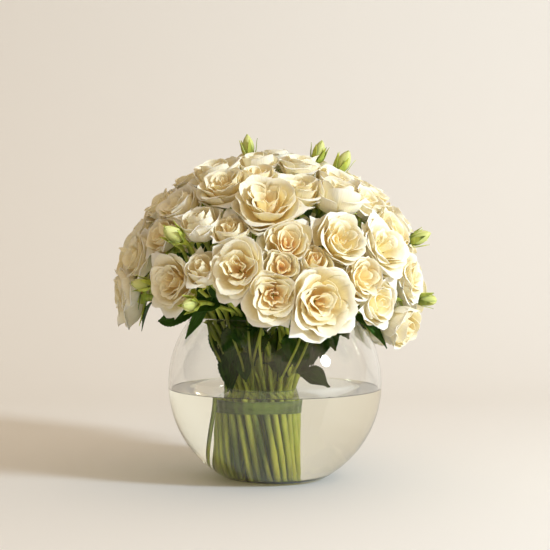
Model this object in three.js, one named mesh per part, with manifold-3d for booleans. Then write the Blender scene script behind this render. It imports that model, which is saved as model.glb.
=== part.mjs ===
// Floral table centerpiece: a tight dome of cream roses, tied by hand, in a round glass bubble bowl.
// Millimetres, +Z up. The origin is the middle of the bowl's flat foot, and the front is the -Y side.
import * as THREE from 'three';
import { mergeVertices } from 'three/addons/utils/BufferGeometryUtils.js';
import Module from 'manifold-3d';

const wasm = await Module();
wasm.setup();

const point = (x, y, z) => new THREE.Vector3(x, y, z);
const UP = point(0, 0, 1);
const FULL_TURN = 2 * Math.PI;
const GOLDEN_ANGLE = Math.PI * (3 - Math.sqrt(5));

// Clearance between pieces that lie against each other, and how closely a joined skin is kept
const GAP = 0.3;
const JOIN_TOLERANCE = 0.02;

// Bowl: a blown sphere, cut flat for its foot and open at the top, with a rounded lip
const BOWL_RADIUS = 100;
const BOWL_CENTRE_Z = 88.5;
const WALL = 2.7;
const FLOOR_Z = 5;
const RIM_Z = 149.6;
const LIP_HALF_TURNS = [0.33, 0.67];
const BOWL_SIDES = 28;
const OUTSIDE_STEPS = 6;
const DRY_STEPS = 3;
const WET_STEPS = 4;

// Water, with a plain hole for the bunch, given as heights and radii, and one for the loose stem
const WATER_Z = 84;
const WATER_HOLE = [[4, 37.5], [72, 33.6], [85, 33.6]];
const LOOSE_STEM_ROOM = 0.9;

// Bunch of stems: straight stems laid in a spiral, narrowest where the band ties them, and further to
// the left at their feet than at the band. The feet stand at uneven heights just over the bowl's floor.
const TIE_Z = 72;
const TIE_HALF_HEIGHT = 4.8;
const TIE_THICKNESS = 1.1;
const TIE_INNER_RADIUS = 30.4;
const TIE_MIDDLE_X = -12;
const FOOT_MIDDLE_X = -14;
const FOOT_CLEARANCE = 1;
const FOOT_UNEVENNESS = 2.5;
const STEM_RADIUS = 2.75;
const STEM_LEAN = Math.tan(THREE.MathUtils.degToRad(12));
const STEM_FLARE = 0.32;
const STEM_SIDES = 4;
const STRAIGHT_HALF = 7;
const OUTER_STEMS = 24;
const OUTER_RING_RADIUS = 26.9;
const OUTER_NECK_Z = 126;
const INNER_STEMS = 7;
const INNER_RING_RADIUS = 15;
const INNER_NECK_Z = 140;

// Core that holds the stems together under the band
const CORE_RADIUS = 25.4;
const CORE_HALF_HEIGHT = 14;

// Stalks, which branch from the tops of the stems and widen to a hip under each head. Where a stalk would
// run into the bowl's rim, it goes over it first.
const STALK_SIDES = 3;
const STALK_RADIUS = 1.7;
const STALK_SINK = 2;
const BRANCH_STEP = 9;
const HIP_RADIUS = 3.2;
const HIP_LENGTH = 8;
const RIM_RADIUS = 80;
const OVER_RIM_RADIUS = 70;
const OVER_RIM_Z = 158;
const TOP_HEAD_SLOPE = 0.78;

// Dome that the hearts of the roses lie on, and the point in front from which the front heads are sighted
const DOME_CENTRE = point(-4, 0, 171);
const DOME_REACH = point(137, 137, 127);
const SIGHT_FROM = point(0, -1217, 222);

// Back, sides and top of the dome: where its slope doesn't face the front, roses of these radii are added
// in turn while they fit, each pressed into its neighbours by up to the squeeze
const FILL_FROM_SLOPE = -0.4;
const FILL_LOWEST_Z = 155;
const FILL_TILT = -0.08;
const FILL_CANDIDATES = 1500;
const FILL_RADII = [25, 22, 24, 19];
const FILL_SQUEEZE = 7;
const FILL_OPEN_EVERY = 10;
const NEIGHBOURS_FELT = 3;

// How far a rose reaches from its middle, in shares of its radius, and how far inside its limits the line
// from its foot to its heart stays
const ROSE_EXTENT = 1.1;
const MIDDLE_ROOM = 2.5;

// Rows of a rose's surface, from its back to its heart, in shares of its radius: out, up, and how deeply
// the row is cut into petal edges. Each row of edges stands proud of the fold on either side of it.
const ROSE_KINDS = {
  grand: {
    petals: 5,
    foot: -0.85,
    heart: 0.22,
    rows: [
      [0.7, -0.42, 0], [1.0, 0.0, 1], [0.72, 0.02, 0], [0.8, 0.25, 1], [0.52, 0.12, 0], [0.55, 0.38, 1],
      [0.28, 0.18, 0], [0.3, 0.4, 1],
    ],
  },
  open: {
    petals: 4,
    foot: -0.85,
    heart: 0.26,
    rows: [
      [0.5, -0.6, 0], [0.98, 0.0, 1], [0.7, 0.04, 0], [0.76, 0.28, 1], [0.46, 0.14, 0], [0.46, 0.4, 1],
      [0.2, 0.2, 0],
    ],
  },
  small: {
    petals: 3,
    foot: -0.85,
    heart: 0.26,
    rows: [[0.6, -0.5, 0], [0.98, 0.04, 1], [0.66, 0.06, 0], [0.7, 0.34, 1], [0.36, 0.16, 0]],
  },
  cup: {
    petals: 3,
    foot: -0.9,
    heart: 0.3,
    rows: [[0.6, -0.6, 0], [0.94, -0.08, 0], [0.9, 0.5, 1], [0.62, 0.3, 0], [0.56, 0.66, 1]],
  },
  bud: {
    petals: 4,
    foot: -1.6,
    heart: 2.5,
    rows: [[0.24, -0.6, 0], [0.62, -0.1, 0], [1.15, 0.7, 1], [0.62, 0.6, 0], [0.78, 1.2, 0]],
  },
};

// Along a petal's edge: its tucked side, its tip and its open side, which laps outside the next petal.
// The turn is in shares of the step between two points, the others in shares of the rose's radius.
const PETAL_EDGE = [
  { turn: -0.42, out: -0.1, up: -0.07 },
  { turn: 0, out: 0.03, up: 0.06 },
  { turn: 0.42, out: 0.05, up: -0.03 },
];
const PETAL_POINTS = PETAL_EDGE.length;
const PETAL_RISE = Math.max(...PETAL_EDGE.map(({ up }) => up));

// Front heads. Across and up are where each is seen on the upright plane through the bowl's middle,
// sighted from the front. Back moves it further round the dome, lift moves it out of the dome, and rise
// turns its face towards the sky.
// name, across, up, radius, kind, back, lift, rise
const FRONT_HEADS = [
  ['rose_01', -7, 254, 27.5, 'grand', 0, 4, 0],
  ['rose_02', 13, 221, 21.5, 'open', 0, -3, 0],
  ['rose_03', 60, 221, 23.5, 'grand', 0, 2, 0],
  ['rose_04', 100, 214, 25, 'grand', 0, 2, 0],
  ['rose_05', 118, 241, 19, 'cup', 0, 0, 0.1],
  ['rose_06', 59, 262, 21.5, 'cup', 0, 2, 1],
  ['rose_07', 22, 270, 21.5, 'open', 0, 0, 0.4],
  ['rose_08', 91, 262, 19, 'open', 0, 0, 0.3],
  ['rose_09', 24, 292, 20, 'open', 0, 0, 0.4],
  ['rose_10', -1, 302, 14.5, 'cup', 6, 0, 0.4],
  ['rose_11', -17, 284, 18, 'small', 0, -2, 0.3],
  ['rose_12', -47, 271, 23, 'grand', 0, 2, 0.1],
  ['rose_13', -50, 293, 19.5, 'open', 6, -2, 0.3],
  ['rose_14', -80, 280, 18, 'small', 0, 0, 0.2],
  ['rose_15', -91, 254, 21.5, 'open', 0, 1, 0.1],
  ['rose_16', -70, 237, 18, 'cup', 0, 0, 0.8],
  ['rose_17', -42, 232, 15.5, 'cup', 0, -3, 0.6],
  ['rose_18', -106, 227, 18, 'small', 0, 0, 0],
  ['rose_19', -130, 236, 17, 'small', 0, 0, 0],
  ['rose_20', -130, 206, 21.5, 'open', 0, 0, 0],
  ['rose_21', -139, 176, 19, 'small', 0, 3, -0.2],
  ['rose_22', -96, 183, 22, 'grand', 0, 0, 0],
  ['rose_23', -67, 194, 15.5, 'cup', 0, 0, 0.6],
  ['rose_24', -35, 196, 23, 'grand', 0, 2, 0],
  ['rose_25', -1, 170, 22.5, 'grand', 0, 2, 0],
  ['rose_26', 42, 165, 29, 'grand', 0, 3, 0],
  ['rose_27', 7, 197, 19, 'open', 0, -2, 0],
  ['rose_28', 38, 203, 15.5, 'cup', 0, -4, 0.4],
  ['rose_29', 83, 187, 20, 'open', 0, 0, 0],
  ['rose_30', 126, 187, 22.5, 'grand', 0, 0, 0],
  ['rose_31', 118, 141, 19, 'cup', 0, 1, -0.3],
  ['rose_32', 142, 208, 17, 'small', 8, -2, 0],
  ['rose_33', 99, 163, 19, 'small', 0, -1, 0],
  ['rose_34', 97, 276, 17, 'small', 30, 4, 0.2],
  ['rose_35', -112, 258, 18, 'small', 12, 0, 0],
  ['rose_36', 46, 289, 17, 'small', 28, -1, 0.3],
  ['rose_37', 73, 282, 15.5, 'small', 10, 0, 0.2],
];

// Buds, given in the same way. Their stalks come up between the roses.
const BUDS = [
  ['bud_01', -24, 303, 7.5, 'bud', 0, 6, 0],
  ['bud_02', 41, 303, 7.5, 'bud', -6, 6, 0],
  ['bud_03', 62, 290, 8.5, 'bud', -14, 4, 0],
  ['bud_04', -86, 221, 9, 'bud', 0, 6, 0],
  ['bud_05', 142, 226, 8.5, 'bud', 0, 4, 0],
  ['bud_06', 142, 166, 7.5, 'bud', 0, 2, 0],
  ['bud_07', -76, 162, 7.5, 'bud', 0, 0, 0],
  ['bud_08', -120, 180, 7, 'bud', 0, 0, 0],
];
const BUD_EXTENT = 2.6;
const BUD_ROOM = 5;

// Small front heads that share a branch, each list in one spray. At the back, sprays hold this many.
const FRONT_SPRAYS = {
  spray_left: ['rose_14', 'rose_35', 'rose_19'],
  spray_right: ['rose_37', 'rose_34', 'rose_36'],
};
const BACK_SPRAY_SIZE = 6;
const BRANCH_RADIUS = 1.8;
const BRANCH_DEPTH = 0.5;
const BRANCH_LONGEST = 66;

// Leaves. Those of the stems are fused to them, and the others are pieces of their own, seated beside the
// stalk of a head. Their edges are toothed, and their halves are folded up from the rib.
const LEAF_THICKNESS = 0.8;
const LEAF_TEETH = 3;
const LEAF_TOOTH_NOTCH = 0.78;
const LEAF_STALK_SHARE = 0.25;
const LEAF_STALK_HALF = 0.7;
const LEAF_SWELL = 0.75;
const LEAF_FOLD = 0.25;
const LEAF_FACE_RISE = 0.6;

// name, head whose stalk it grows from, share of the stalk's length, distance from the stalk's middle, the
// point that its rib bends towards, the point of its tip, and its half width
const LEAVES = [
  ['leaf_left', 'rose_22', 0.4, 2.4, [-86, -80, 152], [-104, -62, 150], 11],
  ['leaf_inner', 'rose_23', 0.15, 2.4, [-64, -92, 158], [-78, -88, 136], 7],
  ['leaf_front', 'rose_24', 0.6, 2.2, [-42, -66, 152], [-18, -64, 124], 13],
  ['leaf_right', 'rose_33', 0.25, 3.5, [86, -78, 150], [99, -68, 126], 7],
  ['leaf_rim', 'rose_29', 0.35, 2.4, [72, -92, 158], [86, -94, 142], 6],
];

// Number of the outer stem that it grows from and the height there, then bend, tip and half width as above
const STEM_LEAVES = [
  [21, 100, [30, -34, 103], [50, -36, 88], 7],
  [15, 108, [-36, -50, 114], [-42, -56, 86], 9],
  [18, 110, [2, -44, 112], [12, -46, 98], 5],
];

// Leaves that hang from the stalks of the lowest heads at the back
const COLLAR_BELOW_Z = 178;
const COLLAR_BEND = { out: 8, down: 6 };
const COLLAR_TIP = { out: 14, down: 32 };
const COLLAR_HALF = 9;

// Loose stem, outside the band at the left: the head that it carries and the points that it runs through
const LOOSE_STEM_HEAD = 'rose_20';
const LOOSE_STEM_LINE = [[-45, -34, 116], [-46.5, -18.5, 71], [-52, -14, 11.8]];
const LOOSE_STEM_RADIUS = 2;

// Colours
const PETAL_CREAM = 0xf1e6cb;
const STEM_GREEN = 0x8a9a4e;
const LEAF_GREEN = 0x4c5a37;
const TIE_GREEN = 0x6f8f4a;

// Materials
const glass = () => new THREE.MeshStandardMaterial({ color: 0xe9f0ee, roughness: 0.03, metalness: 0 });
const water = () => new THREE.MeshStandardMaterial({ color: 0xdfe8e2, roughness: 0.02, metalness: 0 });
const petal = () => new THREE.MeshStandardMaterial({ color: PETAL_CREAM, roughness: 0.6, metalness: 0 });
const stemSkin = () => new THREE.MeshStandardMaterial({ color: STEM_GREEN, roughness: 0.55, metalness: 0 });
const leafSkin = () => new THREE.MeshStandardMaterial({ color: LEAF_GREEN, roughness: 0.5, metalness: 0 });
const tieTape = () => new THREE.MeshStandardMaterial({ color: TIE_GREEN, roughness: 0.5, metalness: 0 });

const model = new THREE.Group();

function addPiece(name, geometry, material) {
  geometry.computeVertexNormals();
  const piece = new THREE.Mesh(geometry, material);
  piece.name = name;
  model.add(piece);
}

function geometryOf(points, faces) {
  const geometry = new THREE.BufferGeometry().setFromPoints(points);
  geometry.setIndex(faces);
  return geometry;
}

// Closed skin over rings of equally many points, with a point at either end
function skin(start, rings, end) {
  const count = rings[0].length;
  const points = [start, ...rings.flat(), end];
  const at = (row, k) => 1 + row * count + (k % count);
  const faces = [];
  for (let k = 0; k < count; k += 1) {
    faces.push(0, at(0, k + 1), at(0, k));
    for (let row = 0; row + 1 < rings.length; row += 1) {
      faces.push(at(row, k), at(row, k + 1), at(row + 1, k + 1));
      faces.push(at(row, k), at(row + 1, k + 1), at(row + 1, k));
    }
    faces.push(points.length - 1, at(rings.length - 1, k), at(rings.length - 1, k + 1));
  }
  return geometryOf(points, faces);
}

// Exact solid of a closed geometry, for joins and cuts
function solidOf(geometry) {
  const bare = geometry.clone();
  bare.deleteAttribute('normal');
  bare.deleteAttribute('uv');
  const merged = mergeVertices(bare, 1e-4);
  const corners = merged.index.array;
  const kept = [];
  for (let k = 0; k < corners.length; k += 3) {
    const [a, b, c] = corners.slice(k, k + 3);
    if (a !== b && b !== c && c !== a) kept.push(a, b, c);
  }
  const vertProperties = Float32Array.from(merged.attributes.position.array);
  return new wasm.Manifold(new wasm.Mesh({ numProp: 3, vertProperties, triVerts: Uint32Array.from(kept) }));
}

function geometryOfSolid(solid) {
  const mesh = solid.getMesh();
  const geometry = new THREE.BufferGeometry();
  geometry.setAttribute('position', new THREE.BufferAttribute(mesh.vertProperties, 3));
  geometry.setIndex(new THREE.BufferAttribute(mesh.triVerts, 1));
  return geometry;
}

// Geometries joined in one, without the points that the joins leave on straight edges
const joined = (geometries) => (
  geometryOfSolid(wasm.Manifold.union(geometries.map(solidOf)).simplify(JOIN_TOLERANCE)));

// Round tube along a line of points, with a radius at each
function tube(line, radii, sides) {
  const rings = [];
  let side = null;
  line.forEach((middle, k) => {
    const ahead = line[Math.min(k + 1, line.length - 1)];
    const behind = line[Math.max(k - 1, 0)];
    const along = ahead.clone().sub(behind).normalize();
    const guide = side ?? (Math.abs(along.z) > 0.9 ? point(1, 0, 0) : UP);
    side = guide.clone().addScaledVector(along, -guide.dot(along)).normalize();
    const across = along.clone().cross(side);
    rings.push(Array.from({ length: sides }, (_, j) => {
      const angle = (FULL_TURN * j) / sides;
      return middle.clone()
        .addScaledVector(side, radii[k] * Math.cos(angle))
        .addScaledVector(across, radii[k] * Math.sin(angle));
    }));
  });
  return skin(line[0], rings, line[line.length - 1]);
}

// Arc of the bowl's outline, at a distance from the sphere's middle, between two heights
function bowlArc(radius, fromZ, toZ, steps) {
  const from = Math.asin((fromZ - BOWL_CENTRE_Z) / radius);
  const to = Math.asin((toZ - BOWL_CENTRE_Z) / radius);
  return Array.from({ length: steps + 1 }, (_, k) => {
    const angle = from + ((to - from) * k) / steps;
    return new THREE.Vector2(radius * Math.cos(angle), BOWL_CENTRE_Z + radius * Math.sin(angle));
  });
}

// Solid turned about the upright axis from an outline of distances from it and heights
function turned(outline, sides) {
  return new THREE.LatheGeometry(outline, sides).rotateX(Math.PI / 2);
}

function addBowl() {
  const outside = bowlArc(BOWL_RADIUS, 0, RIM_Z, OUTSIDE_STEPS);
  const wet = bowlArc(BOWL_RADIUS - WALL, WATER_Z, FLOOR_Z, WET_STEPS);
  const inside = [...bowlArc(BOWL_RADIUS - WALL, RIM_Z, WATER_Z, DRY_STEPS).slice(0, -1), ...wet];
  const lipOuter = outside[outside.length - 1];
  const lipInner = inside[0];
  const lip = LIP_HALF_TURNS.map((share) => {
    const angle = Math.PI * share;
    const middle = lipOuter.clone().add(lipInner).multiplyScalar(0.5);
    const half = (lipOuter.x - lipInner.x) / 2;
    return new THREE.Vector2(middle.x + half * Math.cos(angle), middle.y + half * Math.sin(angle));
  });
  const outline = [new THREE.Vector2(0, 0), ...outside, ...lip, ...inside, new THREE.Vector2(0, FLOOR_Z)];
  addPiece('glass_bowl', geometryOfSolid(solidOf(turned(outline, BOWL_SIDES))), glass());
}

// Middle of the bunch at a height
function bunchMiddle(z) {
  return point(THREE.MathUtils.mapLinear(z, FLOOR_Z, TIE_Z, FOOT_MIDDLE_X, TIE_MIDDLE_X), 0, z);
}

// Point of a stem at a height, for a stem at an angle and a distance from the bunch's middle at the tie
function stemPoint(stem, z) {
  const outward = point(Math.cos(stem.angle), Math.sin(stem.angle), 0);
  const sideways = point(-Math.sin(stem.angle), Math.cos(stem.angle), 0);
  const climb = Math.max(0, z - TIE_Z - STRAIGHT_HALF);
  return bunchMiddle(z)
    .addScaledVector(outward, stem.distance + (climb * STEM_FLARE * stem.distance) / OUTER_RING_RADIUS)
    .addScaledVector(sideways, (TIE_Z - z) * STEM_LEAN);
}

function ringOfStems(count, distance, neckZ) {
  return Array.from({ length: count }, (_, k) => ({
    angle: (FULL_TURN * (k + 0.5)) / count,
    distance,
    footZ: FLOOR_Z + FOOT_CLEARANCE + FOOT_UNEVENNESS * (1 + Math.sin(GOLDEN_ANGLE * k)),
    neckZ,
    branches: 0,
  }));
}

const outerStems = ringOfStems(OUTER_STEMS, OUTER_RING_RADIUS, OUTER_NECK_Z);
const innerStems = ringOfStems(INNER_STEMS, INNER_RING_RADIUS, INNER_NECK_Z);

// Place on the dome that is seen at a point of the upright plane, or the nearest one past its outline
function onDome(across, up) {
  const from = SIGHT_FROM.clone().sub(DOME_CENTRE).divide(DOME_REACH);
  const ray = point(across, 0, up).sub(SIGHT_FROM).divide(DOME_REACH);
  const a = ray.dot(ray);
  const b = from.dot(ray);
  const c = from.dot(from) - 1;
  const hidden = Math.max(0, b * b - a * c);
  const place = from.addScaledVector(ray, (-b - Math.sqrt(hidden)) / a).normalize();
  return place.multiply(DOME_REACH).add(DOME_CENTRE);
}

function outwardAt(place) {
  return place.clone().sub(DOME_CENTRE).divide(DOME_REACH).divide(DOME_REACH).normalize();
}

function makeHead(name, place, radius, kind, lift = 0, rise = 0) {
  const outward = outwardAt(place);
  return {
    name,
    kind: ROSE_KINDS[kind],
    radius,
    outward,
    centre: place.clone().addScaledVector(outward, lift),
    axis: outward.clone().addScaledVector(UP, rise).normalize(),
    extent: radius * (kind === 'bud' ? BUD_EXTENT : ROSE_EXTENT),
    room: radius + (kind === 'bud' ? BUD_ROOM : 0),
  };
}

// The same place moved back round the dome
function movedBack(place, back) {
  const share = place.clone().sub(DOME_CENTRE).add(point(0, back, 0)).divide(DOME_REACH);
  return share.normalize().multiply(DOME_REACH).add(DOME_CENTRE);
}

const heads = [...FRONT_HEADS, ...BUDS].map(([name, across, up, radius, kind, back, lift, rise]) => (
  makeHead(name, movedBack(onDome(across, up), back), radius, kind, lift, rise)));

// Evenly spread places on the dome, of which the back ones may take a rose
function bareSpots() {
  return Array.from({ length: FILL_CANDIDATES }, (_, k) => {
    const z = 1 - (2 * (k + 0.5)) / FILL_CANDIDATES;
    const out = Math.sqrt(1 - z * z);
    const angle = GOLDEN_ANGLE * k;
    return point(out * Math.cos(angle), out * Math.sin(angle), z).multiply(DOME_REACH).add(DOME_CENTRE);
  }).filter((spot) => (
    outwardAt(spot).y > FILL_FROM_SLOPE && spot.z > FILL_LOWEST_Z + FILL_TILT * spot.x));
}

// Room from a spot to the heads nearest to it, closest first
function roomsAt(spot) {
  return heads.map((head) => head.centre.distanceTo(spot) - head.room)
    .sort((a, b) => a - b)
    .slice(0, NEIGHBOURS_FELT);
}

// Adds roses of the given sizes in turn, each where it fits most snugly, until none of them fits
function fillBack() {
  const spots = bareSpots();
  let count = 0;
  let misses = 0;
  for (let turn = 0; misses < FILL_RADII.length; turn += 1) {
    const radius = FILL_RADII[turn % FILL_RADII.length];
    const snug = spots.map(roomsAt).map((rooms) => (
      rooms[0] < radius - FILL_SQUEEZE ? Infinity : rooms.reduce((sum, room) => sum + room)));
    const best = Math.min(...snug);
    misses = best === Infinity ? misses + 1 : 0;
    if (best < Infinity) {
      count += 1;
      const name = `rose_back_${String(count).padStart(2, '0')}`;
      const kind = count % FILL_OPEN_EVERY === 0 ? 'open' : 'small';
      heads.push(makeHead(name, spots[snug.indexOf(best)], radius, kind));
    }
  }
}

// Flat limits between a head and those round it, which keep them apart where they press together
function limitsOf(head) {
  return heads.filter((other) => (
    other !== head && other.centre.distanceTo(head.centre) < head.extent + other.extent + GAP
  )).map((other) => {
    const toward = other.centre.clone().sub(head.centre);
    const apart = toward.length();
    const reach = (apart ** 2 + head.radius ** 2 - other.radius ** 2) / (2 * apart) - GAP / 2;
    return { toward: toward.divideScalar(apart), reach };
  });
}

// Share of a height along the head's axis at which its middle line still lies well inside its limits
function shareOfHeight(head, limits, height) {
  const shares = limits.map(({ toward, reach }) => {
    const climb = height * toward.dot(head.axis);
    return climb > 0 ? (reach - MIDDLE_ROOM) / climb : 1;
  });
  return Math.min(1, ...shares);
}

// Closed skin of a head, drawn in towards its axis wherever it would pass its limits
function shapeHead(head) {
  const { kind, radius, axis, centre } = head;
  const limits = limitsOf(head);
  const top = Math.max(kind.heart, ...kind.rows.map(([, up]) => up + PETAL_RISE)) * radius;
  const shareUp = shareOfHeight(head, limits, top);
  const shareDown = shareOfHeight(head, limits, kind.foot * radius);
  const level = (up) => up * radius * (up > 0 ? shareUp : shareDown);
  const east = UP.clone().cross(axis).normalize();
  const north = axis.clone().cross(east);
  const count = kind.petals * PETAL_POINTS;
  const step = FULL_TURN / count;
  const rows = kind.rows.map(([out, up, cut], row) => Array.from({ length: count }, (_, k) => {
    const edge = PETAL_EDGE[(k + row) % PETAL_POINTS];
    const angle = step * (k + cut * edge.turn);
    const direction = east.clone().multiplyScalar(Math.cos(angle)).addScaledVector(north, Math.sin(angle));
    return { direction, out: (out + cut * edge.out) * radius, up: level(up + cut * edge.up) };
  }));
  const squeeze = Array.from({ length: count }, (_, k) => {
    const shares = rows.flatMap((ring) => limits.map(({ toward, reach }) => {
      const spread = ring[k].out * toward.dot(ring[k].direction);
      return spread > 0 ? (reach - ring[k].up * toward.dot(axis)) / spread : 1;
    }));
    return Math.min(1, ...shares);
  });
  const rings = rows.map((ring) => ring.map(({ direction, out, up }, k) => (
    centre.clone().addScaledVector(direction, out * squeeze[k]).addScaledVector(axis, up))));
  head.foot = centre.clone().addScaledVector(axis, level(kind.foot));
  return skin(head.foot, rings, centre.clone().addScaledVector(axis, level(kind.heart)));
}

// Branch between two heads of a spray, from inside the back of one to inside the back of the other
function branch(head, other) {
  const ends = [head, other].map(({ centre, axis, radius }) => (
    centre.clone().addScaledVector(axis, -BRANCH_DEPTH * radius)));
  return tube(ends, [BRANCH_RADIUS, BRANCH_RADIUS], STALK_SIDES);
}

// Heads of one spray, each joined by a branch to the nearest of those before it
function shapeSpray(members) {
  const parts = members.map(shapeHead);
  if (parts.length === 1) return parts[0];
  members.slice(1).forEach((head, k) => {
    const before = members.slice(0, k + 1);
    const apart = before.map((other) => other.centre.distanceTo(head.centre));
    parts.push(branch(head, before[apart.indexOf(Math.min(...apart))]));
  });
  return joined(parts);
}

function headsByName(names) {
  return names.map((name) => heads.find((head) => head.name === name));
}

// Sprays of the back, each begun at the leftmost head that is left and grown by the nearest ones
function backSprays(backHeads) {
  const left = [...backHeads].sort((a, b) => a.centre.x - b.centre.x);
  const sprays = [];
  while (left.length > 0) {
    const spray = [left.shift()];
    while (spray.length < BACK_SPRAY_SIZE && left.length > 0) {
      const apart = left.map((head) => Math.min(...spray.map((one) => one.centre.distanceTo(head.centre))));
      const nearest = Math.min(...apart);
      if (nearest > BRANCH_LONGEST) break;
      spray.push(...left.splice(apart.indexOf(nearest), 1));
    }
    sprays.push(spray);
  }
  return sprays;
}

// Adds every head, alone or in its spray, and gives back the head of each piece that a stalk carries
function addHeads() {
  const inSprays = Object.values(FRONT_SPRAYS).flat();
  const single = heads.filter(({ name }) => !name.startsWith('rose_back') && !inSprays.includes(name));
  const sprays = [
    ...single.map((head) => [head.name, [head]]),
    ...Object.entries(FRONT_SPRAYS).map(([name, members]) => [name, headsByName(members)]),
    ...backSprays(heads.filter(({ name }) => name.startsWith('rose_back')))
      .map((members, k) => [`spray_back_${k + 1}`, members]),
  ];
  sprays.forEach(([name, members]) => addPiece(name, shapeSpray(members), petal()));
  return sprays.map(([, members]) => members[0]);
}

// Line of a head's stalk, from just under the head over the bowl's rim to a place inside the bowl
function stalkLine(head, neck) {
  const top = head.foot.clone().addScaledVector(head.axis, -GAP);
  const under = top.clone().addScaledVector(head.axis, -HIP_LENGTH);
  const line = [top, under];
  const [outer, inner] = [under, neck].map(({ x, y }) => Math.hypot(x, y));
  const heightAtRim = THREE.MathUtils.mapLinear(RIM_RADIUS, inner, outer, neck.z, under.z);
  if (outer > RIM_RADIUS && heightAtRim < OVER_RIM_Z) {
    const inward = OVER_RIM_RADIUS / outer;
    line.push(point(under.x * inward, under.y * inward, Math.max(OVER_RIM_Z, heightAtRim)));
  }
  return [...line, neck];
}

const turnOf = (place) => Math.atan2(place.y - DOME_CENTRE.y, place.x - DOME_CENTRE.x);

// Core under the band: a spindle whose corners reach into the outer stems and hold them together
function shapeCore() {
  const middle = bunchMiddle(TIE_Z);
  const ring = outerStems.map(({ angle }) => (
    middle.clone().add(point(CORE_RADIUS * Math.cos(angle), CORE_RADIUS * Math.sin(angle), 0))));
  const [low, high] = [-1, 1].map((way) => bunchMiddle(TIE_Z + way * CORE_HALF_HEIGHT));
  return skin(low, [ring], high);
}

// Gives the heads, in order round the bunch, to the stems of a ring in the same order
function shareOut(carried, ring) {
  const inOrder = [...carried].sort((a, b) => turnOf(a.foot) - turnOf(b.foot));
  const ordered = [...ring].sort((a, b) => turnOf(stemPoint(a, a.neckZ)) - turnOf(stemPoint(b, b.neckZ)));
  inOrder.forEach((head, k) => {
    const stem = ordered[Math.floor((k * ordered.length) / inOrder.length)];
    head.stalk = stalkLine(head, stemPoint(stem, stem.neckZ - STALK_SINK - BRANCH_STEP * stem.branches));
    stem.branches += 1;
  });
}

// Leaf: a thin blade, folded along its rib, with toothed edges and a narrow stalk
function shapeLeaf(start, bend, tip, half) {
  const rib = new THREE.QuadraticBezierCurve3(start, point(...bend), point(...tip));
  const rowCount = 2 * LEAF_TEETH;
  const shares = [0, ...Array.from({ length: rowCount + 1 }, (_, k) => (
    LEAF_STALK_SHARE + ((1 - LEAF_STALK_SHARE) * k) / rowCount))];
  const rows = shares.map((share, k) => {
    const middle = rib.getPoint(share);
    const along = rib.getTangent(share);
    const face = outwardAt(middle).addScaledVector(UP, LEAF_FACE_RISE);
    const side = along.clone().cross(face).normalize();
    const normal = side.clone().cross(along).normalize();
    const inBlade = (share - LEAF_STALK_SHARE) / (1 - LEAF_STALK_SHARE);
    const swell = inBlade > 0 ? Math.sin(Math.PI * inBlade ** LEAF_SWELL) : 0;
    const tooth = k % 2 === 0 ? 1 : LEAF_TOOTH_NOTCH;
    const reach = Math.max(LEAF_STALK_HALF, half * swell * tooth);
    const edge = (way) => middle.clone().addScaledVector(side, way * reach)
      .addScaledVector(normal, LEAF_FOLD * reach);
    return { points: [edge(-1), middle, edge(1)], normal };
  });
  return blade(rows);
}

// Closed thin blade over rows of three points, split into the same triangles on both faces
function blade(rows) {
  const points = [1, -1].flatMap((face) => rows.flatMap((row) => (
    row.points.map((one) => one.clone().addScaledVector(row.normal, (face * LEAF_THICKNESS) / 2)))));
  const upper = (k, j) => 3 * k + j;
  const lower = (k, j) => 3 * (rows.length + k) + j;
  const faces = [];
  const quad = (a, b, c, d) => faces.push(a, b, c, a, c, d);
  for (let k = 0; k + 1 < rows.length; k += 1) {
    for (const j of [0, 1]) {
      quad(upper(k, j), upper(k, j + 1), upper(k + 1, j + 1), upper(k + 1, j));
      faces.push(lower(k, j), lower(k + 1, j + 1), lower(k, j + 1));
      faces.push(lower(k, j), lower(k + 1, j), lower(k + 1, j + 1));
    }
    quad(lower(k, 0), upper(k, 0), upper(k + 1, 0), lower(k + 1, 0));
    quad(upper(k, 2), lower(k, 2), lower(k + 1, 2), upper(k + 1, 2));
  }
  const last = rows.length - 1;
  for (const j of [0, 1]) {
    quad(lower(0, j), lower(0, j + 1), upper(0, j + 1), upper(0, j));
    quad(upper(last, j), upper(last, j + 1), lower(last, j + 1), lower(last, j));
  }
  return geometryOf(points, faces);
}

// Place along a stalk's line at a share of its length, moved a distance off its middle towards a point
function besideLine(line, share, distance, toward) {
  const path = new THREE.CurvePath();
  for (let k = 0; k + 1 < line.length; k += 1) path.add(new THREE.LineCurve3(line[k], line[k + 1]));
  const place = path.getPoint(share);
  const away = point(...toward).sub(place).normalize();
  return place.addScaledVector(away, distance);
}

// Leaves under the lowest back heads, which hang outside the bowl
function collarLeaves(carried) {
  return carried.filter(({ centre }) => centre.y > 0 && centre.z < COLLAR_BELOW_Z).map(({ stalk }) => {
    const start = stalk[1];
    const outward = point(start.x, start.y, 0).normalize();
    const [bend, tip] = [COLLAR_BEND, COLLAR_TIP].map(({ out, down }) => (
      start.clone().addScaledVector(outward, out).addScaledVector(UP, -down).toArray()));
    return shapeLeaf(start, bend, tip, COLLAR_HALF);
  });
}

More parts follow.
